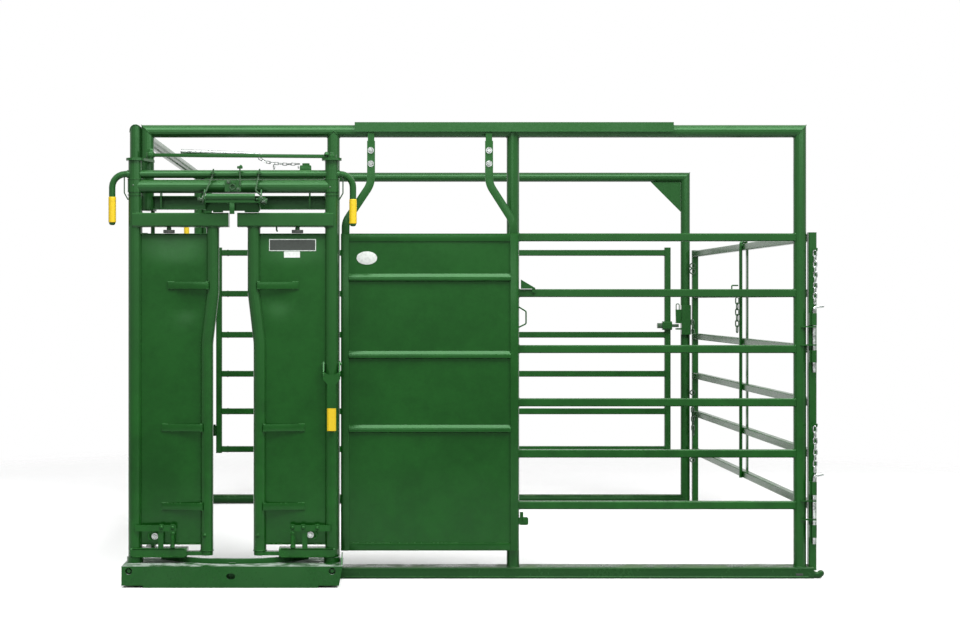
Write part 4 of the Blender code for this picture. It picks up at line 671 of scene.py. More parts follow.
# welded chain: long links, each turned a quarter from the last
def chain(bm, path, pitch, wire, width):
    path = [Vector(point) for point in path]
    lengths = [0.0]
    for start, end in zip(path, path[1:]):
        lengths.append(lengths[-1] + (end - start).length)

    def at(distance):
        for n in range(len(path) - 1):
            if distance <= lengths[n + 1] or n == len(path) - 2:
                return path[n].lerp(path[n + 1], (distance - lengths[n]) / (lengths[n + 1] - lengths[n]))

    count = max(1, round(lengths[-1] / pitch))
    step = lengths[-1] / count
    for n in range(count):
        start, end = at(n * step), at((n + 1) * step)
        along = (end - start).normalized()
        middle = (start + end) / 2
        sideways = along.cross(Vector((0.3, 1, 0.1))).normalized()
        turn = Matrix.Rotation(math.radians(20 + 90 * (n % 2)), 3, along)
        out = turn @ sideways
        straight = (step + 2 * wire) / 2 - width / 2
        loop = []
        for way, first in ((1, -90), (-1, 90)):
            for a in arc(first, first + 180, 6):
                reach = way * straight + width / 2 * math.cos(a)
                loop.append(middle + along * reach + out * (width / 2 * math.sin(a)))
        sweep(bm, loop, wire, 6, closed=True)


def ring(bm, centre, axis, radius, wire, sides=24):
    spin = Vector(axis).to_track_quat("Z", "Y").to_matrix()
    spots = [Vector((radius * math.cos(a), radius * math.sin(a), 0)) for a in around(sides)]
    sweep(bm, [Vector(centre) + spin @ spot for spot in spots], wire, 6, closed=True)


# Head gate door sheets: pressed plate, slightly bowed, with a soft dent under the upper brace
sheetForm = {
    "low": 0.1845,
    "high": 1.642,
    "thick": 0.0026,
    "inset": (0.010, 0.012),  # from the neck pipe's middle and from the post's middle
    "neckHeights": (1.395, 1.100),  # between which the sheet narrows
    "bow": 0.0085,
    "edge": 0.16,  # height over which the bow starts at top and foot
    "dent": 0.0105,
    "dentSize": (0.085, 0.075),
    "dentPlace": {-1: (0.200, 1.300), 1: (0.190, 1.335)},  # out from the middle, and height
    "ripple": 0.0012,
    "grid": (130, 30),  # rows and columns
    "flange": (0.115, 0.0030),
    "braces": ((1.3988, 0.113, 0.307), (0.7322, 0.141, 0.335), (0.3632, 0.141, 0.335)),
    "braceHalf": 0.0165,
    "braceThick": 0.0055,
    "braceFront": 0.0345,
}


def softStep(share):
    share = min(1.0, max(0.0, share))
    return share * share * (3 - 2 * share)


def neckOffset(z):
    above, below = sheetForm["neckHeights"]
    narrow, wide = pen["neck"]
    return narrow + (wide - narrow) * softStep((above - z) / (above - below))


def sheetY(side, x, z):
    form = sheetForm
    offset = (x - pen["gateX"]) * side
    inner = neckOffset(z)
    u = min(1.0, max(0.0, (offset - inner) / (pen["postOffset"] - inner)))
    belly = form["bow"] * softStep(min(z - form["low"], form["high"] - z) / form["edge"])
    out, height = form["dentPlace"][side]
    across, up = form["dentSize"]
    dent = form["dent"] * math.exp(-(((offset - out) / across) ** 2) - ((z - height) / up) ** 2)
    ripple = form["ripple"] * noise.noise(Vector((x * 7, side * 3.0, z * 5)))
    y = pen["gateY"] - 0.002
    return y - belly * math.sin(math.pi * u) ** 0.8 + dent * math.sin(math.pi * u) + ripple


# rows of points become a skin of four-sided faces
def addSkin(bm, rows):
    grid = [[bm.verts.new(point) for point in row] for row in rows]
    for lower, upper in zip(grid, grid[1:]):
        for n in range(len(lower) - 1):
            bm.faces.new((lower[n], lower[n + 1], upper[n + 1], upper[n]))


# a skin seen from the front gets its thickness behind it
def thicken(bm, thick):
    bmesh.ops.recalc_face_normals(bm, faces=bm.faces)
    if bm.faces[0].normal.y > 0:
        bmesh.ops.reverse_faces(bm, faces=bm.faces)
    bmesh.ops.solidify(bm, geom=list(bm.faces), thickness=thick)


def addBrace(bm, body, side, z, start, end):
    form = sheetForm
    skin = sheetY(side, pen["gateX"] + side * end, z)
    front = pen["gateY"] - form["braceFront"]
    thick = form["braceThick"]

    def placed(points):
        return [(pen["gateX"] + side * out, *rest) for out, *rest in points]

    plan = [
        (start, front + thick),
        (start, front),
        (start + 0.014, front),
        (end, skin - thick),
        (end, skin + 0.001),
        (end - 0.012, skin + 0.001),
        (start + 0.016, front + thick),
    ]
    slab(bm, placed(plan), z - form["braceHalf"], z + form["braceHalf"], "Z", 0.0012)
    for edge in (-1, 1):
        height = z + edge * form["braceHalf"] * 0.96
        weld = [(end, skin - 0.001, height), (end - 0.03, skin - 0.0015, height)]
        layWeld(body, placed(weld), closed=False, radius=0.0028)
        weld = [(start, front + 0.002, height), (start + 0.012, front + 0.004, height)]
        layWeld(body, placed(weld), closed=False, radius=0.0036)


def makeDoorSheet(body, side):
    form = sheetForm
    low, high = form["low"], form["high"]
    rows, columns = form["grid"]
    neckInset, postInset = form["inset"]
    grid = []
    for row in range(rows + 1):
        z = low + (high - low) * row / rows
        start, end = neckOffset(z) + neckInset, pen["postOffset"] - postInset
        xs = [pen["gateX"] + side * (start + (end - start) * n / columns) for n in range(columns + 1)]
        grid.append([(x, sheetY(side, x, z), z) for x in xs])
    bm = bmesh.new()
    addSkin(bm, grid)
    thicken(bm, form["thick"])
    inner, thick = form["flange"]
    near, far = sorted(pen["gateX"] + side * out for out in (inner, pen["postOffset"] - 0.020))
    for z in (high - thick, low):
        block(bm, (near, pen["gateY"] - 0.020, z), (far, pen["gateY"] + 0.001, z + thick), 0.0009)
    for z, start, end in form["braces"]:
        addBrace(bm, body, side, z, start, end)
    piece = newPiece(f"{body}_pressed_sheet", bm, "sheet", body, angle=35)
    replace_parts(piece, f"{body}_sheet")


# Blank plates on the right door and the blank oval on the sliding door
plateForm = {
    "big": (-0.9450, -0.7250, 1.5600, 1.6160),  # left, right, foot and top
    "border": 0.0035,
    "label": (-0.8750, -0.8000, 1.5290, 1.5580),
    "badge": (-0.4867, 1.5298, 0.0490, 0.0315),  # middle, then half of its width and height
}


def makePatch(name, finish, area, lift):
    left, right, foot, top = area
    xs = [left + (right - left) * n / 12 for n in range(13)]
    zs = [foot + (top - foot) * n / 5 for n in range(6)]
    bm = bmesh.new()
    addSkin(bm, [[(x, sheetY(1, x, z) - lift, z) for x in xs] for z in zs])
    rim = bmesh.ops.extrude_edge_only(bm, edges=[edge for edge in bm.edges if edge.is_boundary])
    for corner in rim["geom"]:
        if isinstance(corner, bmesh.types.BMVert):
            corner.co.y += lift + 0.001
    newPiece(name, bm, finish, "right_door")


def makePlates():
    left, right, foot, top = plateForm["big"]
    edge = plateForm["border"]
    face = (left + edge, right - edge, foot + edge, top - edge)
    makePatch("blank_plate_border", "plateEdge", plateForm["big"], 0.0016)
    makePatch("blank_plate_face", "plateDark", face, 0.0021)
    makePatch("blank_label", "badge", plateForm["label"], 0.0012)
    x, z, wide, high = plateForm["badge"]
    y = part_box("sliding_door_panel")[0].y + 0.013
    bm = bmesh.new()
    oval = [(x + wide * math.cos(a), z + high * math.sin(a)) for a in around(48)]
    slab(bm, oval, y - 0.0020, y + 0.001, "Y", 0.0006)
    newPiece("blank_oval_badge", bm, "badge", "sliding_door")


# Sliding door hangers' bolts, the track cover's bolts and the guide's bolt
boltForm = {
    "hangerX": (-0.4681, 0.0951),
    "hangerZ": (2.0427, 1.9793),
    "hangerFace": -0.0538,
    "coverX": (-0.5248, 0.9558),
    "guide": (0.2654, -0.0312, 0.2802),
}


def makeDoorBolts():
    for x in boltForm["hangerX"]:
        for z in boltForm["hangerZ"]:
            spot = (x, boltForm["hangerFace"], z)
            hexBolt(fitting("sliding_door", "zinc"), spot, (0, -1, 0), 0.0185, 0.0085, 1.45)
    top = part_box("door_track")[1].z
    for x in boltForm["coverX"]:
        domeBolt(fitting("pen_frame"), (x, 0.02, top - 0.001), (0, 0, 1), 0.011, 0.0065)
    domeBolt(fitting("pen_frame"), boltForm["guide"], (0, -1, 0), 0.0095, 0.0020)


# Head gate fittings: collars, screws, keeper wires, T bolt and ring, clevis bolts
headForm = {
    "front": 0.0352,  # from the posts' middle to the collars' face
    "seams": (1.8957, 1.8229),
    "screws": ((-1.5793, 1.8675), (-0.6582, 1.8577)),
    "wire": 0.0030,
    "wires": (
        ((-1.6130, 1.9330), (-1.6250, 1.9150), (-1.6250, 1.8330), (-1.6075, 1.8010)),
        ((-0.6100, 1.9330), (-0.5985, 1.9100), (-0.5985, 1.8310), (-0.6165, 1.8000)),
    ),
    "tBolt": (-1.0794, 1.8640, 1.9440),  # X, foot and head
    "lug": (-1.1230, -1.1010, 1.8700, 1.8880),
    "lugRing": (-1.1128, 1.8585),
    "lugBolts": ((-1.1330, 1.8830, 0.012, 0.006), (-1.0880, 1.8500, 0.010, 0.005)),
    "clevises": ((-1.2520, 1.7985, -1), (-0.9740, 1.7985, 1)),
    "bosses": ((-1.2640, 1.8000, -1), (-0.9610, 1.7880, 1)),
    "bossY": -0.2450,
    "hook": (-0.9100, 1.6723),
}


def makeHeadFittings():
    form = headForm
    green, rod, latch = fitting("pen_frame"), fitting("pen_frame", "rod"), fitting("latch", "rod")
    y, bossY = pen["gateY"], form["bossY"]
    for side in doors.values():
        for z in form["seams"]:
            centre = (pen["gateX"] + side * pen["postOffset"], y, z)
            ring(green, centre, (0, 0, 1), form["front"] + 0.0002, 0.0016, 36)
    for x, z in form["screws"]:
        domeBolt(rod, (x, y - form["front"] + 0.001, z), (0, -1, 0), 0.0048, 0.0025)
    for wire in form["wires"]:
        sweep(rod, eased([(x, y, z) for x, z in wire], 0.012), form["wire"], 8)
    x, foot, head = form["tBolt"]
    knob = Vector((x, y - 0.038, head))
    sweep(rod, [(x, y - 0.038, foot), knob], 0.0038, 10)
    block(green, knob + Vector((-0.013, -0.006, 0.0)), knob + Vector((0.013, 0.006, 0.012)), 0.003)
    domeBolt(green, knob + Vector((0.004, 0, 0.010)), (0, 0, 1), 0.007, 0.008)
    left, right, low, high = form["lug"]
    block(green, (left, y - 0.046, low), (right, y - 0.034, high), 0.002)
    x, z = form["lugRing"]
    ring(rod, (x, y - 0.047, z), (0.15, 1, 0), 0.0125, 0.0030)
    for x, z, across, height in form["lugBolts"]:
        hexBolt(rod, (x, y - 0.0370, z), (0, -1, 0), across, height)
    for x, z, side in form["clevises"]:
        hexBolt(rod, (x, y - 0.0300, z), (side, 0, 0), 0.0215, 0.012, 1.3, 0.010)
    for x, z, side in form["bosses"]:
        hexBolt(latch, (x, bossY, z), (side, 0, 0), 0.0180, 0.008, 1.3)
        sweep(latch, [(x - side * 0.018, bossY, z), (x + side * 0.004, bossY, z)], 0.0055, 12)
    x, z = form["hook"]
    hook = [(x, y, z), (x, y, z - 0.014), (x + 0.004, y - 0.004, z - 0.020)]
    sweep(fitting("right_door"), eased(hook, 0.006), 0.0040, 8)


# Lower carriers: bolts on the cross straps, adjusting bolts, zinc bolts with their ring brackets
footForm = {
    "front": -0.2125,
    "heads": ((-1.4456, 0.2684), (-1.3938, 0.2672), (-0.8337, 0.2672), (-0.7833, 0.2672), (-0.7174, 0.2650)),
    "adjusters": (-1.3938, -0.8337),
    "shank": ((0, 0.172), (0.0085, 0.172), (0.0085, 0.245), (0.0065, 0.250), (0, 0.250)),
    "nuts": ((0.2380, 0.020), (0.1740, 0.022)),
    "zinc": ((-1.4776, 0.2248), (-0.7502, 0.2323)),
    "bracket": 0.021,
    "neckBolts": ((-1.2453, 0.2286), (-0.9973, 0.2286)),
    "threads": (0.1680, 0.1290),
    "threadSpan": (0.470, 0.225),  # out from the head gate's middle
    "stop": ((0, -0.0045), (0.0105, -0.0045), (0.0115, 0.0), (0.0105, 0.0045), (0, 0.0045)),
    "stopPlace": (0.301, 1.6640),
}


def makeFootFittings():
    form = footForm
    front = form["front"]
    for x, z in form["heads"]:
        bm = fitting(doorAt(x))
        domeBolt(bm, (x, front - 0.001, z), (0, -1, 0), 0.0095, 0.0075)
        block(bm, (x - 0.010, front - 0.001, 0.2740), (x + 0.010, front + 0.006, 0.2835), 0.003)
    for x in form["adjusters"]:
        bm = fitting(doorAt(x))
        turned(bm, form["shank"], (x, front + 0.001, 0), (0, 0, 1), 14)
        for z, across in form["nuts"]:
            hexBolt(bm, (x, front + 0.001, z), (0, 0, 1), across, 0.010, 0)
    for x, z in form["zinc"]:
        body = doorAt(x)
        hexBolt(fitting(body, "zinc"), (x, -0.2020, z), (0, -1, 0), 0.0200, 0.011, 1.35)
        hand, reach = doors[body], form["bracket"]
        bow = []
        for a in arc(-70, 70, 9):
            bow.append((x + hand * (0.010 + reach * math.cos(a)), -0.2050, z + reach * math.sin(a)))
        sweep(fitting(body), bow, 0.0042, 8)
    for x, z in form["neckBolts"]:
        domeBolt(fitting(doorAt(x)), (x, pen["gateY"] - 0.0275, z), (0, -1, 0), 0.0095, 0.0065)
    for body, side in doors.items():
        for z in form["threads"]:
            ends = [(pen["gateX"] + side * out, -0.2095, z) for out in form["threadSpan"]]
            path = spaced(ends, 0.02, False)
            sweep(fitting(body), path, 0.0030, 8, swell=lambda n: 1.0 + 0.2 * math.sin(n * 2.4))
        out, z = form["stopPlace"]
        centre = (pen["gateX"] + side * out, pen["gateY"] - 0.012, z)
        turned(fitting(body), form["stop"], centre, (0, 0, 1), 16)


# Yellow grips, ribbed along their right side, with the bar's rounded end below
gripForm = {
    "rib": 0.00045,
    "pitch": 0.0060,
    "radius": 0.0180,
    "grips": {  # X, foot and top
        "left_release_grip": (-1.6819, 1.6916, 1.8142),
        "right_release_grip": (-0.5515, 1.6860, 1.8030),
    },
    "steps": 72,
    "tip": (
        (0, -0.0105),
        (0.0090, -0.0095),
        (0.0140, -0.0050),
        (0.0150, 0.0005),
        (0.0150, 0.012),
        (0, 0.012),
    ),
}


def makeGrips():
    form = gripForm
    y = pen["gateY"]
    for node, (x, foot, top) in form["grips"].items():
        bm = bmesh.new()
        rings = []
        for n in range(form["steps"] + 1):
            z = foot + (top - foot) * n / form["steps"]
            ends = min(1.0, (z - foot) / 0.006 + 0.55, (top - z) / 0.003 + 0.86)
            rib = form["rib"] * (1 + math.cos(math.tau * (z - foot) / form["pitch"]))
            line = []
            for a in around(36):
                reach = (form["radius"] - 0.0009) * ends + rib * max(0.0, math.cos(a)) ** 2 + 0.0004
                line.append(bm.verts.new((x + reach * math.cos(a), y + reach * math.sin(a), z)))
            rings.append(line)
        closeEnds(bm, rings)
        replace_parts(newPiece(f"{node}_ribbed", bm, "grip", "release", 60), node)
        turned(fitting("release"), form["tip"], (x, y, foot), (0, 0, 1), 24)


# Drop pins' chains, link by link
pinChains = {
    "x": 1.6460,
    "y": -0.0545,
    "link": (0.0262, 0.0031, 0.0165),  # pitch, wire and width
    "spans": (("upper_pin_chain", 1.5640, 1.3120), ("lower_pin_chain", 0.7280, 0.5100)),
}


def makePinChains():
    x, y = pinChains["x"], pinChains["y"]
    for node, top, foot in pinChains["spans"]:
        bm = bmesh.new()
        chain(bm, [(x, y, top), (x + 0.003, y - 0.001, (top + foot) / 2), (x, y, foot)], *pinChains["link"])
        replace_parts(newPiece(f"{node}_links", bm, "zinc", "side_swing_gate", 60), node)


# Tie bar over the head gate, its lock pin and the pin's chain
tieForm = {
    "start": (-1.5170, -0.0540, 2.0200),
    "end": (-0.6512, -0.1700, 2.0040),
    "half": (0.0080, 0.0085),
    "eye": ((0.0088, 0.0200, 0.0212), (0.009, 0.011)),  # radii and half heights
    "tail": ((0, 0.0205, 0.0215), (0.005, 0.0075)),
    "tailPin": ((0, 0.006), (0.0075, 0.006), (0.0075, 0.017), (0.0060, 0.019), (0, 0.019)),
    "pivotBolt": 2.0314,
    "pivotSeat": ((0, 1.990), (0.0165, 1.990), (0.0165, 2.0085), (0, 2.0085)),
    "pin": ((-1.3700, -0.0690, 2.0370), (-1.0000, -0.1230, 2.0200)),
    "chain": (
        (-0.9960, -0.1350, 1.9990),
        (-0.9600, -0.1370, 1.9800),
        (-0.9200, -0.1370, 1.9740),
        (-0.8600, -0.1330, 1.9700),
        (-0.8050, -0.1300, 1.9720),
    ),
    "link": (0.0190, 0.0021, 0.0115),
    "chainRing": (-0.9240, -0.1370, 1.9570),
    "clip": (
        ((-0.8020, -0.1600, 1.9330), (-0.7480, -0.1200, 1.9640), 0.005),
        ((-0.7900, -0.1560, 1.9640), (-0.7560, -0.1280, 1.9740), 0.003),
    ),
    "clipBolt": (-0.8060, -0.1400, 1.9560),
}


# a disc with broken edges, hollow where its first radius isn't zero
def discProfile(radii, heights):
    inner, near, outer = radii
    low, high = heights
    rim = [(inner, -high), (near, -high), (outer, -low), (outer, low), (near, high), (inner, high)]
    return [*rim, rim[0]] if inner else rim


def makeTieBar():
    start, end = Vector(tieForm["start"]), Vector(tieForm["end"])
    along = (end - start).normalized()
    across = Vector((-along.y, along.x, 0)).normalized()
    up = along.cross(across)
    wide, high = tieForm["half"]
    part = bmesh.new()
    rings = []
    for centre in (start, start.lerp(end, 0.5), end):
        corners = [across * a * wide + up * b * high for a, b in ((-1, -1), (1, -1), (1, 1), (-1, 1))]
        rings.append([part.verts.new(centre + corner) for corner in corners])
    closeEnds(part, rings)
    bm = bmesh.new()
    addShape(bm, part, 0.0018)
    turned(bm, discProfile(*tieForm["eye"]), start, (0, 0, 1), 28)
    turned(bm, discProfile(*tieForm["tail"]), end, (0, 0, 1), 28)
    domeBolt(bm, end + Vector((-0.024, -0.010, 0.006)), (0, 0, 1), 0.0125, 0.016)
    turned(bm, tieForm["tailPin"], end, (0, 0, 1), 16)
    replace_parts(newPiece("tie_bar_sloped", bm, "frame", "tie"), "tie_bar")
    frameSide = fitting("pen_frame")
    hexBolt(frameSide, (start.x, start.y, tieForm["pivotBolt"]), (0, 0, 1), 0.0270, 0.0150, 1.15)
    turned(frameSide, tieForm["pivotSeat"], (start.x, start.y, 0), (0, 0, 1), 24)


def makeLockPin():
    first, last = Vector(tieForm["pin"][0]), Vector(tieForm["pin"][1])
    bm = bmesh.new()
    sweep(bm, [first, first.lerp(last, 0.55), last], 0.0100, 18, swell=lambda n: (1.0, 0.86, 0.62)[n])
    sweep(bm, [last, last + (last - first).normalized() * 0.012 - Vector((0, 0, 0.006))], 0.0042, 12)
    ring(bm, last + Vector((0.010, -0.006, -0.010)), (0.2, 1, 0.2), 0.0090, 0.0024)
    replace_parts(newPiece("lock_pin_tapered", bm, "zinc", "tie"), "lock_pin")
    bm = fitting("tie", "zinc")
    chain(bm, eased(tieForm["chain"], 0.03), *tieForm["link"])
    ring(bm, tieForm["chainRing"], (1, 0.4, 0), 0.0110, 0.0021)
    for low, high, soft in tieForm["clip"]:
        block(fitting("pen_frame"), low, high, soft)
    hexBolt(fitting("pen_frame", "zinc"), tieForm["clipBolt"], (-1, 0, 0), 0.010, 0.005)


# The side gate's stay: the drop rod's bent top, its loop, and the rings and chains that hang there
stayForm = {
    "top": ((1.6175, 1.478, 1.490), (1.6175, 1.478, 1.636), (1.6330, 1.470, 1.640)),
    "loop": ((1.6010, 1.470, 1.412), (1.5640, 1.462, 1.412), (1.5640, 1.462, 1.392)),
    "chain": ((1.5950, 1.464, 1.342), (1.5940, 1.462, 1.150)),
    "endX": 1.6230,
    "endY": 2.985,
    "rings": ((1.553, 0.016), (1.517, 0.017), (0.729, 0.015), (0.290, 0.014)),
    "endChains": ((1.200, 1.108), (0.630, 0.454)),
}


def makeStayFittings():
    form = stayForm
    green, rod = fitting("side_swing_gate"), fitting("side_swing_gate", "rod")
    sweep(green, eased(form["top"], 0.022), 0.0092, 14)
    sweep(green, eased(form["loop"], 0.006), 0.0040, 8)
    chain(rod, form["chain"], 0.030, 0.0035, 0.019)
    x, y = form["endX"], form["endY"]
    for z, radius in form["rings"]:
        ring(rod, (x, y, z), (0.2, 1, 0.1), radius, 0.0036)
    for top, foot in form["endChains"]:
        chain(rod, [(x, y, top), (x + 0.004, y, foot)], 0.030, 0.0036, 0.018)


# Front sill: rounded tube in enamel darkened as painted shade, with the claw at its end, a seam along its
# face, and a black block as painted shade for the slot
sillForm = {
    "left": -0.6162,
    "right": 1.6460,
    "front": -0.040,
    "back": 0.078,
    "top": 0.0545,
    "corner": 0.008,
    "claw": ((1.6400, 0.0240), (1.6560, 0.0165), (1.6740, 0.0165), (1.6820, 0.0240)),
    "clawY": -0.024,
    "clawRadius": 0.0160,
    "seam": (-0.595, 1.6200, 0.0100),
    "slot": (1.5600, 1.5935, 0.0155, 0.0260),
}


def roundedRail(across, up, radius, steps=4):
    near, far = across
    low, high = up
    corners = ((far, high, 0), (near, high, 90), (near, low, 180), (far, low, 270))
    outline = []
    for a, b, start in corners:
        inA = a - math.copysign(radius, a - sum(across) / 2)
        inB = b - math.copysign(radius, b - sum(up) / 2)
        for turn in arc(start, start + 90, steps):
            outline.append((inA + radius * math.cos(turn), inB + radius * math.sin(turn)))
    return outline


def makeSill():
    form = sillForm
    front = form["front"]
    bm = bmesh.new()
    section = roundedRail((front, form["back"]), (0.0, form["top"]), form["corner"])
    slab(bm, section, form["left"], form["right"], "X", 0)
    claw = [Vector((x, form["clawY"], z)) for x, z in form["claw"]]
    sweep(bm, eased(claw, 0.014, 6), form["clawRadius"], 18)
    tip = Matrix.Translation(claw[-1])
    ball = form["clawRadius"] + 0.0006
    bmesh.ops.create_uvsphere(bm, u_segments=18, v_segments=12, radius=ball, matrix=tip)
    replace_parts(newPiece("front_sill_with_claw", bm, "sill", "pen_frame", angle=50), "front_sill")
    left, right, z = form["seam"]
    seam = spaced([(left, front + 0.0005, z), (right, front + 0.0005, z)], 0.03, False)
    sweep(fitting("pen_frame"), seam, 0.0022, 6)
    # painted shade: a black block on the sill's face stands in for the shade inside its slot
    left, right, low, high = form["slot"]
    bm = bmesh.new()
    block(bm, (left, front - 0.0006, low), (right, front + 0.004, high), 0.0005)
    newPiece("sill_slot_painted_shade", bm, "rubber", "pen_frame")


# Sliding door: thin sheet on a tube frame, with three pressed ribs and a bent pull
slideForm = {
    "frame": (-0.6100, 0.2343, 0.1383, 1.6467),
    "depth": (-0.0720, -0.0340),
    "stile": 0.0400,
    "sheetInset": 0.02,
    "sheetThick": 0.003,
    "grid": (60, 32),  # rows and columns
    "ribs": (1.4370, 1.0690, 0.7175),
    "ribHalf": 0.0190,
    "pull": (
        (0.2283, 1.3000),
        (0.2383, 1.2960),
        (0.2713, 1.2760),
        (0.2713, 1.2170),
        (0.2383, 1.2010),
        (0.2283, 1.1960),
    ),
    "pullWire": 0.0036,
}


def makeSlidingSheet(bm, face):
    left, right, low, high = slideForm["frame"]
    rows, columns = slideForm["grid"]
    inset = slideForm["sheetInset"]
    grid = []
    for row in range(rows + 1):
        z = low + inset + (high - low - 2 * inset) * row / rows
        line = []
        for column in range(columns + 1):
            x = left + inset + (right - left - 2 * inset) * column / columns
            wave = 0.0016 * noise.noise(Vector((x * 3.1, 5.0, z * 2.7)))
            wave += 0.0004 * noise.noise(Vector((x * 9, 2.0, z * 8)))
            line.append((x, face + wave, z))
        grid.append(line)
    addSkin(bm, grid)
    thicken(bm, slideForm["sheetThick"])


def makeSlidingPanel():
    left, right, low, high = slideForm["frame"]
    front, back = slideForm["depth"]
    stile, half = slideForm["stile"], slideForm["ribHalf"]
    face = front + 0.010
    bm = bmesh.new()
    makeSlidingSheet(bm, face)
    for x in (left, right - stile):
        block(bm, (x, front, low), (x + stile, back, high), 0.005)
    inner, outer = left + stile - 0.004, right - stile + 0.004
    for z in (low, high - pen["tube"]):
        block(bm, (inner, front + 0.003, z), (outer, back - 0.003, z + pen["tube"]), 0.005)
    for z in slideForm["ribs"]:
        section = [
            (face + 0.003, z - half),
            (face + 0.003, z + half),
            (face - 0.001, z + half),
            (front - 0.001, z + 0.004),
            (front - 0.003, z - 0.001),
            (front - 0.003, z - 0.014),
            (face - 0.001, z - half),
        ]
        slab(bm, section, inner, outer, "X", 0.0016)
    pull = [(x, (front + back) / 2, z) for x, z in slideForm["pull"]]
    sweep(bm, eased(pull, 0.010), slideForm["pullWire"], 12)
    piece = newPiece("sliding_door_pressed_panel", bm, "sheet", "sliding_door", angle=35)
    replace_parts(piece, "sliding_door_panel")


# Hangers: strap bent out to the door's stile, hook over the header and roller behind it
hangerForm = {
    "places": {  # X at top and foot
        "left_door_hanger": (-0.4667, -0.5880),
        "right_door_hanger": (0.0954, 0.2115),
    },
    "width": 0.0380,
    "hookWidth": 0.0310,
    "hook": (-0.0400, 0.0386, 2.1692, 2.1732),  # front, back, underside and top
    "hookFoot": 1.9535,
    "roller": (0.062, 2.1450, 0.0160),  # Y, Z and radius
    "strap": (-0.0540, -0.0460),
    "heights": (2.0885, 1.8835, 1.7017, 1.6469),
    "bend": 0.115,
}


def hookOutline():
    form = hangerForm
    back, low, top = form["strap"][1], form["hookFoot"], form["heights"][0]
    front, far, under, over = form["hook"]
    lip = form["roller"][1] - 0.010
    return [
        (back - 0.0005, low),
        (back - 0.0005, top + 0.003),
        (front, top + 0.0215),
        (front, over),
        (far, over),
        (far, lip),
        (far - 0.004, lip),
        (far - 0.004, under),
        (front + 0.0055, under),
        (front + 0.0055, top + 0.0200),
        (back + 0.0055, top + 0.0015),
        (back + 0.0055, low),
    ]


def makeHangers():
    form = hangerForm
    front, back = form["strap"]
    top, bend, foot, low = form["heights"]
    y, z, radius = form["roller"]
    axle = [(0, -0.0240), (0.006, -0.0240), (0.006, 0.018), (0, 0.018)]
    groove = radius - 0.004
    wheel = [(0, -0.012), (radius, -0.012), (groove, -0.004), (groove, 0.010), (radius, 0.018), (0, 0.018)]
    for node, (topX, footX) in form["places"].items():
        bm = bmesh.new()
        path = [(topX, 0, top), (topX, 0, bend), (footX, 0, foot), (footX, 0, low)]
        strap(bm, eased(path, form["bend"], 8), form["width"], front, back, 0.0013)
        half = form["hookWidth"] / 2
        slab(bm, hookOutline(), topX - half, topX + half, "X", 0.0010)
        turned(bm, axle, (topX, y, z), (0, 1, 0), 16)
        turned(bm, wheel, (topX, y, z), (0, 1, 0), 32)
        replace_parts(newPiece(f"{node}_bent", bm, "frame", "sliding_door"), node)


# Latch: roofed box over the ends of the arms, its front wall set back under the roof
latchForm = {
    "x": (-1.2406, -0.9846),
    "y": (-0.2500, -0.1500),
    "low": 1.7466,
    "top": 1.7880,
    "wall": 0.005,
    "face": -0.2060,
    "pin": (-0.2000, 1.8000),
    "lip": (1.8105, 0.0155),
    "pads": ((0.0346, 0.0816), (0.1826, 0.2496)),  # from the left end
    "padHeights": (1.740, 1.787),
    "padDepth": 0.018,
    "tab": (-1.1250, -1.1020, 1.730),
}


def makeLatch():
    look = latchForm
    left, right = look["x"]
    front, back = look["y"]
    low, top, wall, face = look["low"], look["top"], look["wall"], look["face"]
    pinY, pinZ = look["pin"]
    lipZ, lipR = look["lip"]
    bm = bmesh.new()
    shell = [
        (front, top - wall),
        (face, top - wall),
        (face, low),
        (face + wall, low),
        (face + wall, top - wall),
        (back - wall, top - wall),
        (back - wall, low + 0.012),
        (back, low + 0.012),
        (back, top),
        (front, top),
    ]
    slab(bm, shell, left + 0.001, right - 0.001, "X", 0.0010)
    cheek = [
        (front + 0.001, top - 2 * wall),
        (face + 0.001, low + 0.006),
        (back - 0.001, low + 0.013),
        (back - 0.001, top),
        (pinY + 0.013, pinZ + 0.013),
        (front + 0.001, pinZ + 0.013),
    ]
    for x in (left, right - wall):
        slab(bm, cheek, x, x + wall, "X", 0.0010)
    sweep(bm, [(left + 0.0065, front + 0.008, lipZ), (right - 0.022, front + 0.008, lipZ)], lipR, 28)
    block(bm, (left + 0.008, front + 0.0005, top - 0.002), (right - 0.024, front + wall, lipZ), 0.0008)
    padLow, padHigh = look["padHeights"]
    for start, end in look["pads"]:
        high = (left + end, face + look["padDepth"], padHigh)
        block(bm, (left + start, face + 0.001, padLow), high, 0.0012)
    tabLeft, tabRight, tabLow = look["tab"]
    block(bm, (tabLeft, front + 0.001, tabLow), (tabRight, front + 0.010, top - 0.001), 0.0015)
    y = headForm["bossY"]
    for x, side in ((left, -1), (right, 1)):
        sweep(bm, [(x - side * 0.002, y, pinZ), (x + side * 0.0140, y, pinZ)], 0.0035, 12)
    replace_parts(newPiece("latch_box_roofed", bm, "frame", "latch"), "latch_box")


def closeFittings():
    for (body, finish), bm in fittings.items():
        slot = "zinc" if finish == "zinc" else "green_paint"
        newPiece(f"{body}_{finish}_fittings", bm, finish, body)


for doorBody, doorSide in doors.items():
    makeDoorSheet(doorBody, doorSide)
makePlates()
makeDoorBolts()
makeHeadFittings()
makeFootFittings()
makeGrips()
makePinChains()
makeTieBar()
makeLockPin()
makeStayFittings()
makeSill()
makeSlidingPanel()
makeHangers()
makeLatch()
closeFittings()
closeWelds()
print("stage: fittings made")

# Camera, square to the front as in the photograph, with the view shifted
photoView = {
    "eye": (-0.4667, -8.37, 1.33),
    "lens": 65.5,
    "shift": (0.1135, -0.0208),
}


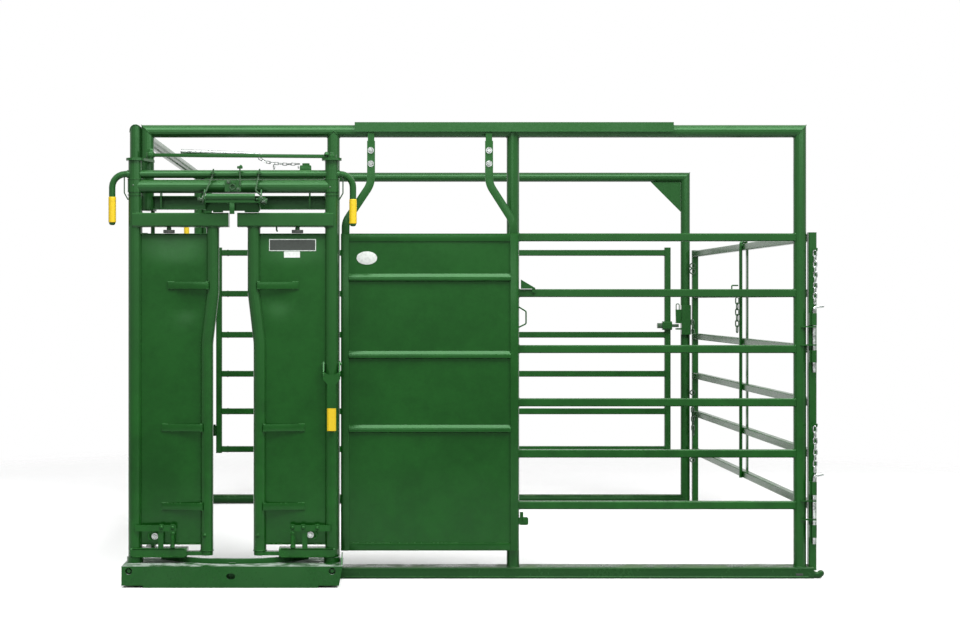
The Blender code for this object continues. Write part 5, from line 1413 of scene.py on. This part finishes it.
def makeCamera():
    lens = bpy.data.cameras.new("photo camera")
    lens.lens = photoView["lens"]
    lens.sensor_width = 36
    lens.shift_x, lens.shift_y = photoView["shift"]
    lens.clip_end = 200
    camera = bpy.data.objects.new("photo camera", lens)
    camera.location = photoView["eye"]
    camera.rotation_euler = (math.radians(90), 0, 0)
    bpy.context.scene.collection.objects.link(camera)
    bpy.context.scene.camera = camera


# Soft overcast light from above the front, on a plain pale floor
lighting = {
    "sky": (0.04, 0.72),  # below the skyline and overhead
    "ground": (0.17, 0.18, 0.17, 1),  # the floor as it throws light back
    "floor": (0.97, 0.97, 0.97, 1),
    "floorSize": 60.0,
    "floorFade": (4.2, 6.4),  # metres from the middle over which the floor gives way to the background
    "lamps": (
        # name, place, target, width, depth, power
        ("overhead", (0.3, -2.4, 6.0), (0.0, 0.4, 1.0), 8.5, 3.2, 800),
        ("front fill", (-4.5, -8.5, 4.8), (0.0, 0.0, 1.2), 4.0, 3.0, 70),
        ("high card", (-0.5, -9.2, 3.35), (-0.5, 0.0, 1.9), 6.5, 1.3, 95),
        ("right fill", (6.5, -6.0, 4.0), (0.3, 0.6, 1.0), 3.0, 3.0, 110),
    ),
}


def makeLamps():
    for name, place, target, width, depth, power in lighting["lamps"]:
        lamp = bpy.data.lights.new(name, "AREA")
        lamp.shape = "RECTANGLE"
        lamp.size, lamp.size_y = width, depth
        lamp.energy = power
        holder = bpy.data.objects.new(name, lamp)
        holder.location = place
        heading = Vector(target) - Vector(place)
        holder.rotation_euler = heading.to_track_quat("-Z", "Y").to_euler()
        bpy.context.scene.collection.objects.link(holder)


def seenRays(finish):
    kinds = ("Is Camera Ray", "Is Glossy Ray", "Is Transmission Ray")
    camera, glossy, through = [finish.node("LightPath", output=kind) for kind in kinds]
    return (camera + glossy + through) > 0.5


def makeSky():
    world = bpy.data.worlds.new("overcast")
    bpy.context.scene.world = world
    world.use_nodes = True
    sky = Finish("sky", tree=world.node_tree)
    background = sky.tree.nodes["Background"]
    seen = seenRays(sky)
    up = sky.node("SeparateXYZ", {}, {0: sky.node("TexCoord", output=0)}, output=2)
    dome = sky.between(up, -0.25, 0.85, *lighting["sky"])
    strength = seen * (1.0 - dome) + dome
    background.inputs["Color"].default_value = (1, 1, 1, 1)
    sky.tree.links.new(strength.socket, background.inputs["Strength"])


def makeFloor():
    bm = bmesh.new()
    bmesh.ops.create_grid(bm, x_segments=1, y_segments=1, size=lighting["floorSize"] / 2)
    mesh = bpy.data.meshes.new("floor")
    bm.to_mesh(mesh)
    bm.free()
    floor = bpy.data.objects.new("floor", mesh)
    bpy.context.scene.collection.objects.link(floor)
    paint = Finish("pale floor", roughness=0.9)
    paint.set("Base Color", paint.mix(seenRays(paint), lighting["ground"], lighting["floor"]))
    paint.shader.inputs["Specular IOR Level"].default_value = 0.0
    away = paint.node("VectorMath", {"operation": "LENGTH"}, {0: paint.node("TexCoord", output=3)}, output=1)
    paint.set("Alpha", paint.between(away, *lighting["floorFade"], 1.0, 0.0))
    mesh.materials.append(paint.material)
    floor.location = (0.0, 1.3, 0.0)


makeCamera()
makeLamps()
makeSky()
makeFloor()
bpy.context.scene.view_settings.view_transform = "Standard"
print("stage: camera and light set")
